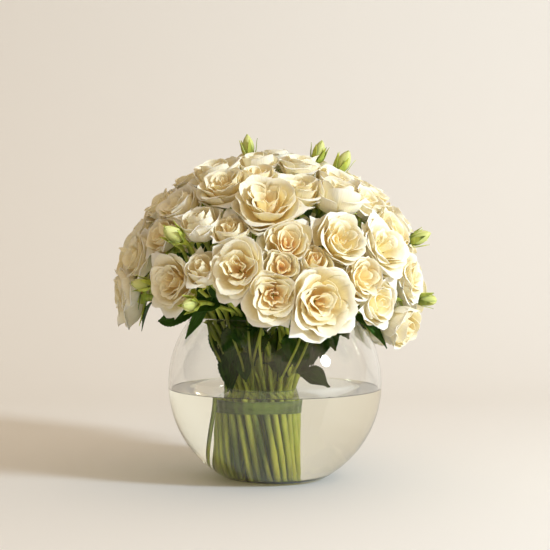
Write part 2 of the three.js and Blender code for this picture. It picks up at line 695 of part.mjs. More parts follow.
function addGreenery(carried) {
  const onBunch = carried.filter(({ name }) => name !== LOOSE_STEM_HEAD);
  shareOut(onBunch.filter(({ outward }) => outward.z < TOP_HEAD_SLOPE), outerStems);
  shareOut(onBunch.filter(({ outward }) => outward.z >= TOP_HEAD_SLOPE), innerStems);
  const stemTubes = [...outerStems, ...innerStems].map((stem) => {
    const heights = [stem.footZ, TIE_Z - STRAIGHT_HALF, TIE_Z + STRAIGHT_HALF, stem.neckZ];
    return tube(heights.map((z) => stemPoint(stem, z)), heights.map(() => STEM_RADIUS), STEM_SIDES);
  });
  const stalks = onBunch.map(({ stalk }) => (
    tube(stalk, stalk.map((_, k) => (k === 0 ? HIP_RADIUS : STALK_RADIUS)), STALK_SIDES)));
  const stemLeaves = STEM_LEAVES.map(([stem, z, bend, tip, half]) => (
    shapeLeaf(stemPoint(outerStems[stem], z), bend, tip, half)));
  const parts = [...stemTubes, shapeCore(), ...stalks, ...stemLeaves, ...collarLeaves(onBunch)];
  addPiece('stem_bunch', joined(parts), stemSkin());
  LEAVES.forEach(([name, head, share, distance, bend, tip, half]) => {
    const { stalk } = headsByName([head])[0];
    addPiece(name, shapeLeaf(besideLine(stalk, share, distance, bend), bend, tip, half), leafSkin());
  });
}

const looseLine = LOOSE_STEM_LINE.map((place) => point(...place));

function addLooseStem() {
  const [upper, ...lower] = looseLine;
  const line = [...stalkLine(headsByName([LOOSE_STEM_HEAD])[0], upper), ...lower];
  addPiece('loose_stem', tube(line, line.map(() => LOOSE_STEM_RADIUS), STEM_SIDES), stemSkin());
}

function addTie() {
  const outer = TIE_INNER_RADIUS + TIE_THICKNESS;
  const corners = [
    [TIE_INNER_RADIUS, -1], [outer, -1], [outer, 1], [TIE_INNER_RADIUS, 1], [TIE_INNER_RADIUS, -1],
  ];
  const outline = corners.map(([out, way]) => new THREE.Vector2(out, way * TIE_HALF_HEIGHT));
  const band = turned(outline, OUTER_STEMS).translate(...bunchMiddle(TIE_Z).toArray());
  addPiece('tie_band', geometryOfSolid(solidOf(band)), tieTape());
}

function addWater() {
  const side = bowlArc(BOWL_RADIUS - WALL - GAP, FLOOR_Z + GAP, WATER_Z, WET_STEPS);
  const outline = [new THREE.Vector2(0, FLOOR_Z + GAP), ...side, new THREE.Vector2(0, WATER_Z)];
  const holeRadii = WATER_HOLE.map(([, radius]) => radius);
  const hole = tube(WATER_HOLE.map(([z]) => bunchMiddle(z)), holeRadii, OUTER_STEMS);
  const looseHole = tube(looseLine, looseLine.map(() => LOOSE_STEM_RADIUS + LOOSE_STEM_ROOM), STEM_SIDES);
  const body = [hole, looseHole].reduce(
    (solid, cut) => solid.subtract(solidOf(cut)),
    solidOf(turned(outline, BOWL_SIDES)),
  );
  addPiece('vase_water', geometryOfSolid(body), water());
}

fillBack();
addBowl();
addGreenery(addHeads());
addLooseStem();
addTie();
addWater();

export default model;
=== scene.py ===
# %% [markdown]
# A centerpiece of cream roses in a glass bubble bowl
#
# The real object is a hand-tied bouquet: seventy to eighty spray and garden roses pressed into a dome,
# their stems laid in a spiral, tied with green tape and stood in a round bowl of water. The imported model
# gives the size and place of each piece. This lesson dresses it: it keeps every place, and puts thin petals,
# veined leaves, round stems, clear glass and water where the plain solids are.

# %% Load the frame
import math
from types import SimpleNamespace

import bpy
import numpy as np
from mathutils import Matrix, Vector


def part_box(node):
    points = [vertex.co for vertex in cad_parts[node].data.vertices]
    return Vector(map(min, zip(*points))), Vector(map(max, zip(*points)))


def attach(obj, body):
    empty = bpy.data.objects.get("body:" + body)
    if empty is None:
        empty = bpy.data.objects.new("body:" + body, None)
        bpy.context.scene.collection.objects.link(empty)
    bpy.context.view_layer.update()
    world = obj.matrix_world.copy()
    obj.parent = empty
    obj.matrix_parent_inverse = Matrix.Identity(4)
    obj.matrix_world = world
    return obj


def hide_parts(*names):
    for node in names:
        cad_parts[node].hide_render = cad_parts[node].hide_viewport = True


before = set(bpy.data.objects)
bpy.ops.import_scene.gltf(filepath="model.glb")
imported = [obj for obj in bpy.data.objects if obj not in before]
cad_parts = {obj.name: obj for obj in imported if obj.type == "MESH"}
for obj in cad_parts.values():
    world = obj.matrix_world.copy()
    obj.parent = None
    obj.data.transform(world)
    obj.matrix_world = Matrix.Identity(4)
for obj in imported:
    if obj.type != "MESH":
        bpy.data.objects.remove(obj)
bpy.ops.object.select_all(action="DESELECT")
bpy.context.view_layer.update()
print("nodes in the frame:", len(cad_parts))

# %% [markdown]
# The camera
#
# The photograph looks at the bouquet from the front, a little above the bowl's rim and almost level. A long
# lens from just over a metre away gives its flat perspective. The camera comes before anything else, so that
# each piece can be looked at as it is made.

# %% Camera
MM = 0.001
CAMERA_PLACE = (0.0, -1.217, 0.222)
CAMERA_LENS_MM = 85
CAMERA_DOWN = math.radians(1.54)
bpy.ops.object.camera_add(location=CAMERA_PLACE, rotation=(math.pi / 2 - CAMERA_DOWN, 0, 0))
camera = bpy.context.object
camera.data.lens = CAMERA_LENS_MM
bpy.context.scene.camera = camera
print("camera at", CAMERA_PLACE)

# %% [markdown]
# Small helpers for materials
#
# A finish is a chain of nodes that ends in one shader. These helpers keep each chain readable: one makes a
# material, one adds a node and joins its inputs, and the others make a ramp or a mix of colours, a sum, a
# range, a noise or a bump. What is the same all over a surface is set on the shader's own socket.

# %% Material helpers
def new_material(name, **constants):
    material = bpy.data.materials.new(name)
    material.use_nodes = True
    shader = material.node_tree.nodes["Principled BSDF"]
    for socket, value in constants.items():
        shader.inputs[socket.replace("_", " ")].default_value = value
    return material, shader


def add_node(material, kind, inputs=None, **settings):
    node = material.node_tree.nodes.new(kind)
    for setting, value in settings.items():
        setattr(node, setting, value)
    for socket, value in (inputs or {}).items():
        if isinstance(value, bpy.types.NodeSocket):
            material.node_tree.links.new(value, node.inputs[socket])
        else:
            node.inputs[socket].default_value = value
    return node


def add_ramp(material, factor, stops):
    ramp = add_node(material, "ShaderNodeValToRGB", {"Fac": factor})
    while len(ramp.color_ramp.elements) < len(stops):
        ramp.color_ramp.elements.new(0.5)
    for element, (place, colour) in zip(ramp.color_ramp.elements, stops):
        element.position = place
        element.color = (*colour, 1)
    return ramp.outputs["Color"]


def mix_colours(material, factor, first, second, way="MIX"):
    mix = add_node(material, "ShaderNodeMix", data_type="RGBA", blend_type=way)
    for socket, value in zip((mix.inputs[0], mix.inputs[6], mix.inputs[7]), (factor, first, second)):
        if isinstance(value, bpy.types.NodeSocket):
            material.node_tree.links.new(value, socket)
        else:
            socket.default_value = value
    return mix.outputs[2]


def join_sockets(material, output, socket):
    material.node_tree.links.new(output, socket)


def add_math(material, operation, *values):
    return add_node(material, "ShaderNodeMath", dict(enumerate(values)), operation=operation).outputs[0]


def add_range(material, value, **limits):
    inputs = {"Value": value} | {name.replace("_", " "): limit for name, limit in limits.items()}
    return add_node(material, "ShaderNodeMapRange", inputs).outputs["Result"]


def add_noise(material, place, scale, detail):
    inputs = {"Vector": place, "Scale": scale, "Detail": detail}
    return add_node(material, "ShaderNodeTexNoise", inputs).outputs["Fac"]


def add_bump(material, shader, height, strength, depth_mm, **settings):
    inputs = {"Height": height, "Strength": strength, "Distance": depth_mm * MM}
    bump = add_node(material, "ShaderNodeBump", inputs, **settings)
    join_sockets(material, bump.outputs["Normal"], shader.inputs["Normal"])


# %% [markdown]
# Petals: the finish
#
# A cream rose isn't one colour. The rim of a petal is nearly white, its base is warm, and the heart of the
# bloom runs from butter yellow to peach. Each petal carries two numbers for this: how near it is to the
# heart, which sets the warmth, and its own map across and along, which carries fine veins. Petals are thin
# enough for light to glow through, so some of it is scattered under the surface.

# %% Petal material
PETAL_RIM = (0.96, 0.945, 0.86)
PETAL_WHITE = (0.95, 0.905, 0.71)
PETAL_CREAM = (0.95, 0.875, 0.58)
PETAL_GOLD = (0.97, 0.85, 0.54)
PETAL_PEACH = (0.97, 0.76, 0.50)
PETAL_GREEN = (0.42, 0.52, 0.15)
BUD_LIGHT = (0.74, 0.74, 0.30)
BUD_MIDDLE = (0.60, 0.64, 0.20)
VEIN_SHADE = (0.97, 0.96, 0.93)
PLAIN_WHITE = (1.0, 1.0, 1.0)
GLOW_DEPTHS = (1.0, 0.78, 0.5)
PETAL_VEIN_STRETCH = (26, 2.2, 1)
PETAL_VEIN_DEPTH_MM = 0.8


def petal_finish(name, stops, bump):
    material, shader = new_material(
        name, Roughness=0.5, Subsurface_Weight=0.3, Subsurface_Scale=0.002, Specular_IOR_Level=0.3
    )
    shader.inputs["Subsurface Radius"].default_value = GLOW_DEPTHS
    warmth = add_node(material, "ShaderNodeAttribute", attribute_name="warmth").outputs["Fac"]
    base = add_ramp(material, warmth, stops)
    flat = add_node(material, "ShaderNodeUVMap", uv_map="petal").outputs["UV"]
    drawn_out = add_node(material, "ShaderNodeMapping", {"Vector": flat, "Scale": PETAL_VEIN_STRETCH})
    veins = add_noise(material, drawn_out.outputs["Vector"], 1.0, 4.0)
    shade = add_ramp(material, veins, [(0.35, VEIN_SHADE), (0.62, PLAIN_WHITE)])
    join_sockets(material, mix_colours(material, 1.0, base, shade, "MULTIPLY"), shader.inputs["Base Color"])
    add_bump(material, shader, veins, bump, PETAL_VEIN_DEPTH_MM)
    return material


petal_skin = petal_finish(
    "cream_petal",
    [(0.0, PETAL_RIM), (0.07, PETAL_WHITE), (0.3, PETAL_CREAM), (0.62, PETAL_GOLD), (1.0, PETAL_PEACH)],
    0.35,
)
bud_skin = petal_finish(
    "bud_petal",
    [(0.0, BUD_LIGHT), (0.35, BUD_MIDDLE), (1.0, PETAL_GREEN)],
    0.3,
)
print("petal finishes:", petal_skin.name, bud_skin.name)

# %% [markdown]
# Leaves, stems and tape: the finishes
#
# Rose leaves are dark and a little waxy above, with a pale rib and side veins that leave it at a slant.
# Stems are a lighter yellow green with long streaks, paler under water. The tape is a plain mid green with
# stretch marks. The leaf's pattern follows its own map, and the stems' follows their length.

# %% Leaf, stem and tape materials
LEAF_DARK = (0.012, 0.050, 0.005)
LEAF_LIGHT = (0.055, 0.155, 0.013)
LEAF_VEIN = (0.10, 0.15, 0.055)
STEM_PALE = (0.72, 0.82, 0.13)
STEM_DEEP = (0.10, 0.16, 0.025)
TAPE_LIGHT = (0.155, 0.235, 0.020)
TAPE_DARK = (0.07, 0.12, 0.010)
VEIN_SLANT = 0.55
VEINS_PER_LEAF = 9.0
VEIN_FROM_WAVE = 0.93
VEIN_SHOWS = 0.55
RIB_FADES = 0.07
RIB_FULL = 0.02
LEAF_VEIN_DEPTH_MM = 0.6
STREAK_DEPTH_MM = 0.5
PATCH_SCALE = 0.45


def leaf_finish():
    material, shader = new_material(
        "rose_leaf", Roughness=0.55, Specular_IOR_Level=0.15, Subsurface_Weight=0.06, Subsurface_Scale=0.002
    )
    place = add_node(material, "ShaderNodeUVMap", uv_map="leaf").outputs["UV"]
    split = add_node(material, "ShaderNodeSeparateXYZ", {"Vector": place})
    off_rib = add_math(material, "ABSOLUTE", split.outputs["X"])
    slant = add_math(material, "MULTIPLY_ADD", off_rib, -VEIN_SLANT, split.outputs["Y"])
    turns = add_math(material, "MULTIPLY", slant, VEINS_PER_LEAF * 2 * math.pi)
    wave = add_math(material, "COSINE", turns)
    side_veins = add_range(material, wave, From_Min=VEIN_FROM_WAVE, From_Max=1.0)
    rib = add_range(material, off_rib, From_Min=RIB_FADES, From_Max=RIB_FULL)
    vein = add_math(material, "MAXIMUM", side_veins, rib)
    blade = add_ramp(material, add_noise(material, place, 5.0, 5.0), [(0.3, LEAF_DARK), (0.75, LEAF_LIGHT)])
    faint = add_math(material, "MULTIPLY", vein, VEIN_SHOWS)
    colour = mix_colours(material, faint, blade, (*LEAF_VEIN, 1))
    join_sockets(material, colour, shader.inputs["Base Color"])
    add_bump(material, shader, vein, 0.5, LEAF_VEIN_DEPTH_MM, invert=True)
    return material


def streaked_finish(name, dark, light, scale, roughness, stretch):
    material, shader = new_material(
        name, Roughness=roughness, Specular_IOR_Level=0.4, Subsurface_Weight=0.1, Subsurface_Scale=0.002
    )
    place = add_node(material, "ShaderNodeTexCoord").outputs["Object"]
    long_way = add_node(material, "ShaderNodeMapping", {"Vector": place, "Scale": stretch}).outputs["Vector"]
    streaks = add_noise(material, long_way, scale, 4.0)
    patches = add_noise(material, long_way, scale * PATCH_SCALE, 1.0)
    mean = add_math(material, "MULTIPLY", add_math(material, "ADD", streaks, patches), 0.5)
    colour = add_ramp(material, mean, [(0.36, dark), (0.62, light)])
    join_sockets(material, colour, shader.inputs["Base Color"])
    add_bump(material, shader, streaks, 0.3, STREAK_DEPTH_MM)
    return material


leaf_skin = leaf_finish()
stem_skin = streaked_finish("rose_stem", STEM_DEEP, STEM_PALE, 130.0, 0.42, (1, 1, 0.12))
tape_skin = streaked_finish("florist_tape", TAPE_DARK, TAPE_LIGHT, 160.0, 0.38, (0.25, 0.25, 3))
print("green finishes:", leaf_skin.name, stem_skin.name, tape_skin.name)

# %% [markdown]
# Glass and water: the finishes
#
# Both are clear, so what makes them read is how far they bend light: glass by 1.5 and water by 1.33. The
# water's skin lies a tenth of a millimetre inside the glass, so that no thin film of air is left between the
# two, which would flash silver. The water is tinted a little warm, as it is in the photograph.

# %% Glass and water materials
glass_skin, _ = new_material(
    "clear_glass", Roughness=0.0, IOR=1.5, Transmission_Weight=1.0, Base_Color=(0.985, 0.995, 0.99, 1),
    Specular_IOR_Level=0.3,
)
water_skin, _ = new_material(
    "clear_water", Roughness=0.0, IOR=1.33, Transmission_Weight=1.0, Base_Color=(0.975, 0.957, 0.86, 1)
)
print("clear finishes:", glass_skin.name, water_skin.name)

# %% [markdown]
# Finishing a piece
#
# Every new piece ends the same way. Its shading is made smooth except over sharp rims, it takes its
# material, it rides on the object's one body, and the plain nodes it stands for are hidden.

# %% Finish helper
SHARP_ABOVE = math.radians(50)


def make_only_selected(piece):
    bpy.ops.object.select_all(action="DESELECT")
    piece.select_set(True)
    bpy.context.view_layer.objects.active = piece


def finish_piece(piece, name, material, replaced=()):
    piece.name = name
    piece.data.name = name
    piece.data.materials.clear()
    piece.data.materials.append(material)
    make_only_selected(piece)
    bpy.ops.object.shade_smooth_by_angle(angle=SHARP_ABOVE)
    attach(piece, "root")
    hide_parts(*replaced)
    bpy.ops.object.select_all(action="DESELECT")


def mesh_piece(name, points, faces, maps):
    """A piece from points in millimetres and their faces, with a named map or number at each point."""
    mesh = bpy.data.meshes.new(name)
    mesh.from_pydata((np.asarray(points) * MM).tolist(), [], np.asarray(faces).tolist())
    corners = np.empty(len(mesh.loops), int)
    mesh.loops.foreach_get("vertex_index", corners)
    for map_name, values in maps.items():
        values = np.asarray(values, dtype=np.float32)
        if values.ndim == 2:
            layer = mesh.uv_layers.new(name=map_name)
            layer.data.foreach_set("uv", values[corners].ravel())
        else:
            number = mesh.attributes.new(map_name, "FLOAT", "POINT")
            number.data.foreach_set("value", values)
    piece = bpy.data.objects.new(name, mesh)
    bpy.context.scene.collection.objects.link(piece)
    return piece


def thicken(piece, thickness_mm, offset=0.0):
    make_only_selected(piece)
    solid = piece.modifiers.new("thickness", "SOLIDIFY")
    solid.thickness = thickness_mm * MM
    solid.offset = offset
    bpy.ops.object.modifier_apply(modifier=solid.name)


# %% [markdown]
# The glass bowl
#
# The real bowl is blown as a bubble, cut open at the top, and its rim melted round. Only half of its
# outline is needed: from the middle of the foot up the outside, over the lip and down the inside. A spin
# about the upright axis turns that outline into the whole bowl, with enough steps to look truly round.

# %% Glass bowl
BOWL_RADIUS = 100.0
BOWL_CENTRE_Z = 88.5
WALL = 2.7
FLOOR_Z = 5.0
RIM_Z = 149.6
FOOT_ROUNDING = 2.0
FOOT_EDGE = [(3.0, 0.0), (1.0, 0.3)]
FLOOR_ROUNDING = 6.0
FLOOR_DROP = 0.9
FLOOR_BULGE = 0.55
SPIN_STEPS = 144
ARC_STEPS = 44
LIP_STEPS = 10
FLOOR_STEPS = 9
WATER_Z = 84.0
WATER_LAP = 0.12
MENISCUS = 0.6
CREEP = 1.2
CREEP_STEPS = 10
CREEP_CURVE = 2.2


def sphere_arc(radius, from_z, to_z, steps=ARC_STEPS):
    start, end = (math.asin((z - BOWL_CENTRE_Z) / radius) for z in (from_z, to_z))
    angles = np.linspace(start, end, steps + 1)
    return [(radius * math.cos(a), BOWL_CENTRE_Z + radius * math.sin(a)) for a in angles]


def spin_outline(name, outline):
    """Spins an outline of distances from the axis and heights, in millimetres, into a closed piece."""
    points = [(x * MM, 0.0, z * MM) for x, z in outline]
    mesh = bpy.data.meshes.new(name)
    mesh.from_pydata(points, [(k, k + 1) for k in range(len(points) - 1)], [])
    piece = bpy.data.objects.new(name, mesh)
    bpy.context.scene.collection.objects.link(piece)
    make_only_selected(piece)
    bpy.ops.object.mode_set(mode="EDIT")
    bpy.ops.mesh.select_all(action="SELECT")
    bpy.ops.mesh.spin(steps=SPIN_STEPS, angle=2 * math.pi, center=(0, 0, 0), axis=(0, 0, 1))
    bpy.ops.mesh.select_all(action="SELECT")
    bpy.ops.mesh.remove_doubles(threshold=1e-6)
    bpy.ops.mesh.normals_make_consistent(inside=False)
    bpy.ops.object.mode_set(mode="OBJECT")
    return piece


outside = sphere_arc(BOWL_RADIUS, FOOT_ROUNDING, RIM_Z)
foot_radius = math.sqrt(BOWL_RADIUS**2 - BOWL_CENTRE_Z**2)
inside = sphere_arc(BOWL_RADIUS - WALL, RIM_Z, FLOOR_Z + FLOOR_ROUNDING)
lip_middle = [(a + b) / 2 for a, b in zip(outside[-1], inside[0])]
lip_half = (outside[-1][0] - inside[0][0]) / 2
lip = [
    (lip_middle[0] + lip_half * math.cos(a), lip_middle[1] + lip_half * math.sin(a))
    for a in np.linspace(0, math.pi, LIP_STEPS)[1:-1]
]
floor_turn = [
    (inside[-1][0] - FLOOR_ROUNDING * (FLOOR_DROP * (1 - math.cos(a)) + FLOOR_BULGE * math.sin(a)),
     FLOOR_Z + FLOOR_ROUNDING * (1 - math.sin(a)))
    for a in np.linspace(0, math.pi / 2, FLOOR_STEPS)[1:]
]
bowl_outline = [(0.0, 0.0), *((foot_radius - inward, z) for inward, z in FOOT_EDGE), *outside]
bowl_outline += [*lip, *inside, *floor_turn, (0.0, FLOOR_Z)]
bowl = spin_outline("bowl", bowl_outline)
finish_piece(bowl, "bubble_bowl", glass_skin, ["glass_bowl"])
print("bowl:", len(bowl.data.polygons), "faces, foot radius", round(foot_radius, 1), "mm")

# %% [markdown]
# The water
#
# The water fills the bowl to just under its widest part, and creeps up the glass in a thin curved edge,
# the dark line that shows at its surface. It is spun in the same way as the bowl. Where it meets the glass
# it laps into it by a hair.

# %% Water
wet_arc = sphere_arc(BOWL_RADIUS - WALL + WATER_LAP, FLOOR_Z + FLOOR_ROUNDING, WATER_Z + MENISCUS)
wall_x = wet_arc[-1][0]
creep = [
    (wall_x - CREEP * share, WATER_Z + MENISCUS * (1 - share) ** CREEP_CURVE)
    for share in np.linspace(0, 1, CREEP_STEPS)[1:]
]
wet_floor = [(x + WATER_LAP, z - WATER_LAP) for x, z in reversed(floor_turn)]
water_outline = [(0.0, FLOOR_Z - WATER_LAP), *wet_floor, *wet_arc, *creep, (0.0, WATER_Z)]
water = spin_outline("water", water_outline)
finish_piece(water, "bowl_water", water_skin, ["vase_water"])
print("water:", len(water.data.polygons), "faces")

# %% [markdown]
# Where the roses sit
#
# The florist's dome is a slightly flattened ball. The front heads are placed where the photograph shows
# them, each sighted from the camera's place onto the dome. Further round, roses of four sizes are pressed in
# one after another where they fit most snugly. These are the same lists and the same rules as the model's
# own, in millimetres, so each bloom lands on its node.

# %% Places of the heads
UP = np.array([0.0, 0.0, 1.0])
GOLDEN_ANGLE = math.pi * (3 - math.sqrt(5))
GAP = 0.3
DOME_CENTRE = np.array([-4.0, 0.0, 171.0])
DOME_REACH = np.array([137.0, 137.0, 127.0])
SIGHT_FROM = np.array([0.0, -1217.0, 222.0])
FILL_FROM_SLOPE = -0.4
FILL_LOWEST_Z = 155.0
FILL_TILT = -0.08
FILL_CANDIDATES = 1500
FILL_RADII = [25, 22, 24, 19]
FILL_SQUEEZE = 7
FILL_OPEN_EVERY = 10
NEIGHBOURS_FELT = 3
MIDDLE_ROOM = 2.5
ROSE_EXTENT = 1.1
BUD_EXTENT = 2.6
BUD_ROOM = 5

# foot and top of each kind of head, in shares of its radius
KIND_FOOT = {"grand": -0.85, "open": -0.85, "small": -0.85, "cup": -0.9, "bud": -1.6}
KIND_TOP = {"grand": 0.46, "open": 0.46, "small": 0.4, "cup": 0.72, "bud": 2.5}

# name, across, up, radius, kind, back, lift, rise
FRONT_HEADS = [
    ("rose_01", -7, 254, 27.5, "grand", 0, 4, 0),
    ("rose_02", 13, 221, 21.5, "open", 0, -3, 0),
    ("rose_03", 60, 221, 23.5, "grand", 0, 2, 0),
    ("rose_04", 100, 214, 25, "grand", 0, 2, 0),
    ("rose_05", 118, 241, 19, "cup", 0, 0, 0.1),
    ("rose_06", 59, 262, 21.5, "cup", 0, 2, 1),
    ("rose_07", 22, 270, 21.5, "open", 0, 0, 0.4),
    ("rose_08", 91, 262, 19, "open", 0, 0, 0.3),
    ("rose_09", 24, 292, 20, "open", 0, 0, 0.4),
    ("rose_10", -1, 302, 14.5, "cup", 6, 0, 0.4),
    ("rose_11", -17, 284, 18, "small", 0, -2, 0.3),
    ("rose_12", -47, 271, 23, "grand", 0, 2, 0.1),
    ("rose_13", -50, 293, 19.5, "open", 6, -2, 0.3),
    ("rose_14", -80, 280, 18, "small", 0, 0, 0.2),
    ("rose_15", -91, 254, 21.5, "open", 0, 1, 0.1),
    ("rose_16", -70, 237, 18, "cup", 0, 0, 0.8),
    ("rose_17", -42, 232, 15.5, "cup", 0, -3, 0.6),
    ("rose_18", -106, 227, 18, "small", 0, 0, 0),
    ("rose_19", -130, 236, 17, "small", 0, 0, 0),
    ("rose_20", -130, 206, 21.5, "open", 0, 0, 0),
    ("rose_21", -139, 176, 19, "small", 0, 3, -0.2),
    ("rose_22", -96, 183, 22, "grand", 0, 0, 0),
    ("rose_23", -67, 194, 15.5, "cup", 0, 0, 0.6),
    ("rose_24", -35, 196, 23, "grand", 0, 2, 0),
    ("rose_25", -1, 170, 22.5, "grand", 0, 2, 0),
    ("rose_26", 42, 165, 29, "grand", 0, 3, 0),
    ("rose_27", 7, 197, 19, "open", 0, -2, 0),
    ("rose_28", 38, 203, 15.5, "cup", 0, -4, 0.4),
    ("rose_29", 83, 187, 20, "open", 0, 0, 0),
    ("rose_30", 126, 187, 22.5, "grand", 0, 0, 0),
    ("rose_31", 118, 141, 19, "cup", 0, 1, -0.3),
    ("rose_32", 142, 208, 17, "small", 8, -2, 0),
    ("rose_33", 99, 163, 19, "small", 0, -1, 0),
    ("rose_34", 97, 276, 17, "small", 30, 4, 0.2),
    ("rose_35", -112, 258, 18, "small", 12, 0, 0),
    ("rose_36", 46, 289, 17, "small", 28, -1, 0.3),
    ("rose_37", 73, 282, 15.5, "small", 10, 0, 0.2),
    ("bud_01", -24, 303, 7.5, "bud", 0, 6, 0),
    ("bud_02", 41, 303, 7.5, "bud", -6, 6, 0),
    ("bud_03", 62, 290, 8.5, "bud", -14, 4, 0),
    ("bud_04", -86, 221, 9, "bud", 0, 6, 0),
    ("bud_05", 142, 226, 8.5, "bud", 0, 4, 0),
    ("bud_06", 142, 166, 7.5, "bud", 0, 2, 0),
    ("bud_07", -76, 162, 7.5, "bud", 0, 0, 0),
    ("bud_08", -120, 180, 7, "bud", 0, 0, 0),
]


def unit(vector):
    return vector / np.linalg.norm(vector)


def on_dome(across, up):
    start = (SIGHT_FROM - DOME_CENTRE) / DOME_REACH
    ray = (np.array([across, 0.0, up]) - SIGHT_FROM) / DOME_REACH
    a, b, c = ray @ ray, start @ ray, start @ start - 1
    nearest = (-b - math.sqrt(max(0.0, b * b - a * c))) / a
    return unit(start + ray * nearest) * DOME_REACH + DOME_CENTRE


def moved_back(place, back):
    return unit((place - DOME_CENTRE + [0.0, back, 0.0]) / DOME_REACH) * DOME_REACH + DOME_CENTRE


def outward_at(place):
    return unit((place - DOME_CENTRE) / DOME_REACH / DOME_REACH)


def make_head(name, place, radius, kind, lift=0, rise=0):
    outward = outward_at(place)
    axis = unit(outward + UP * rise)
    east = unit(np.cross(UP, axis))
    return SimpleNamespace(
        name=name,
        radius=radius,
        kind=kind,
        outward=outward,
        axis=axis,
        east=east,
        north=np.cross(axis, east),
        centre=place + outward * lift,
        extent=radius * (BUD_EXTENT if kind == "bud" else ROSE_EXTENT),
        room=radius + (BUD_ROOM if kind == "bud" else 0),
    )


def bare_spots():
    number = np.arange(FILL_CANDIDATES)
    z = 1 - 2 * (number + 0.5) / FILL_CANDIDATES
    out = np.sqrt(1 - z * z)
    angle = GOLDEN_ANGLE * number
    spots = np.stack([out * np.cos(angle), out * np.sin(angle), z], axis=1) * DOME_REACH + DOME_CENTRE
    return [
        spot for spot in spots
        if outward_at(spot)[1] > FILL_FROM_SLOPE and spot[2] > FILL_LOWEST_Z + FILL_TILT * spot[0]
    ]


def fill_back(heads):
    spots = np.array(bare_spots())
    count = turn = misses = 0
    while misses < len(FILL_RADII):
        radius = FILL_RADII[turn % len(FILL_RADII)]
        turn += 1
        centres = np.array([head.centre for head in heads])
        taken = np.array([head.room for head in heads])
        rooms = np.linalg.norm(spots[:, None] - centres[None], axis=2) - taken
        rooms = np.sort(rooms, axis=1)[:, :NEIGHBOURS_FELT]
        snug = np.where(rooms[:, 0] < radius - FILL_SQUEEZE, np.inf, rooms.sum(axis=1))
        best = int(np.argmin(snug))
        misses = misses + 1 if np.isinf(snug[best]) else 0
        if misses == 0:
            count += 1
            kind = "open" if count % FILL_OPEN_EVERY == 0 else "small"
            heads.append(make_head(f"rose_back_{count:02d}", spots[best], radius, kind))


def distance(one, other):
    return np.linalg.norm(one.centre - other.centre)


def find_limits(head, heads):
    """Flat limits round a head: the directions to its neighbours, and how far off each limit is."""
    near = [
        other for other in heads
        if other is not head and distance(head, other) < head.extent + other.extent + GAP
    ]
    toward = np.array([other.centre - head.centre for other in near]).reshape(-1, 3)
    apart = np.linalg.norm(toward, axis=1)
    radii = np.array([other.radius for other in near])
    reach = (apart**2 + head.radius**2 - radii**2) / (2 * apart) - GAP / 2
    return toward / apart[:, None], reach


def share_of_height(head, height):
    climb = height * (head.toward @ head.axis)
    shares = (head.reach - MIDDLE_ROOM)[climb > 0] / climb[climb > 0]
    return min(1.0, *shares) if len(shares) else 1.0


heads = [
    make_head(name, moved_back(on_dome(across, up), back), radius, kind, lift, rise)
    for name, across, up, radius, kind, back, lift, rise in FRONT_HEADS
]
fill_back(heads)
for head in heads:
    head.toward, head.reach = find_limits(head, heads)
    head.share_up = share_of_height(head, KIND_TOP[head.kind] * head.radius)
    head.share_down = share_of_height(head, KIND_FOOT[head.kind] * head.radius)
    head.foot = head.centre + head.axis * (KIND_FOOT[head.kind] * head.radius * head.share_down)
by_name = {head.name: head for head in heads}
print("heads:", len(heads))

# %% [markdown]
# Which heads share a branch
#
# Spray roses grow several to a stem. A few small front heads and all the back ones are grouped as the model
# groups them, so that one finished piece stands for one node.

# %% Groups of heads
FRONT_SPRAYS = {
    "spray_left": ["rose_14", "rose_35", "rose_19"],
    "spray_right": ["rose_37", "rose_34", "rose_36"],
}
BACK_SPRAY_SIZE = 6
BRANCH_LONGEST = 66


def back_sprays(left):
    left = sorted(left, key=lambda head: head.centre[0])
    sprays = []
    while left:
        spray = [left.pop(0)]
        while len(spray) < BACK_SPRAY_SIZE and left:
            apart = [min(distance(head, one) for one in spray) for head in left]
            nearest = int(np.argmin(apart))
            if apart[nearest] > BRANCH_LONGEST:
                break
            spray.append(left.pop(nearest))
        sprays.append(spray)
    return sprays


sprayed = sum(FRONT_SPRAYS.values(), [])
back_heads = [head for head in heads if head.name.startswith("rose_back")]
front_heads = [head for head in heads if not head.name.startswith("rose_back")]
groups = {head.name: [head] for head in front_heads if head.name not in sprayed}
groups |= {name: [by_name[member] for member in members] for name, members in FRONT_SPRAYS.items()}
groups |= {f"spray_back_{k + 1}": members for k, members in enumerate(back_sprays(back_heads))}
carried = [members[0] for members in groups.values()]
for name, members in groups.items():
    low, high = (np.array(corner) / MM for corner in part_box(name))
    outside_box = [head.name for head in members if np.any(head.centre < low) or np.any(head.centre > high)]
    assert not outside_box, f"{outside_box} lies outside {name}"
print("pieces with blooms:", len(groups))

# %% [markdown]
# One flat petal
#
# All the petals are cut from one pattern, as they are in a paper rose. It is a fine grid, narrowed towards
# its base row by row and rounded at its rim column by column. The rows crowd together near the rim, where
# a petal rolls back and needs the most shape.

# %% Flat petal
PETAL_COLUMNS = 8
PETAL_ROWS = 7
RIM_CROWDING = 1.3
RIM_ROUNDING = 0.2
RIM_ROUNDNESS = 2.4
BASE_WIDTH = 0.34
WIDEST_AT = 0.72
RIM_NARROWING = 0.10
ROW_SLACK = 1e-4


def base_width(along):
    """Half width of the petal at a share of its length, as a share of its widest."""
    swell = math.sin(math.pi / 2 * min(1.0, along / WIDEST_AT))
    past = max(0.0, along - WIDEST_AT) / (1 - WIDEST_AT)
    return BASE_WIDTH + (1 - BASE_WIDTH) * swell - RIM_NARROWING * past


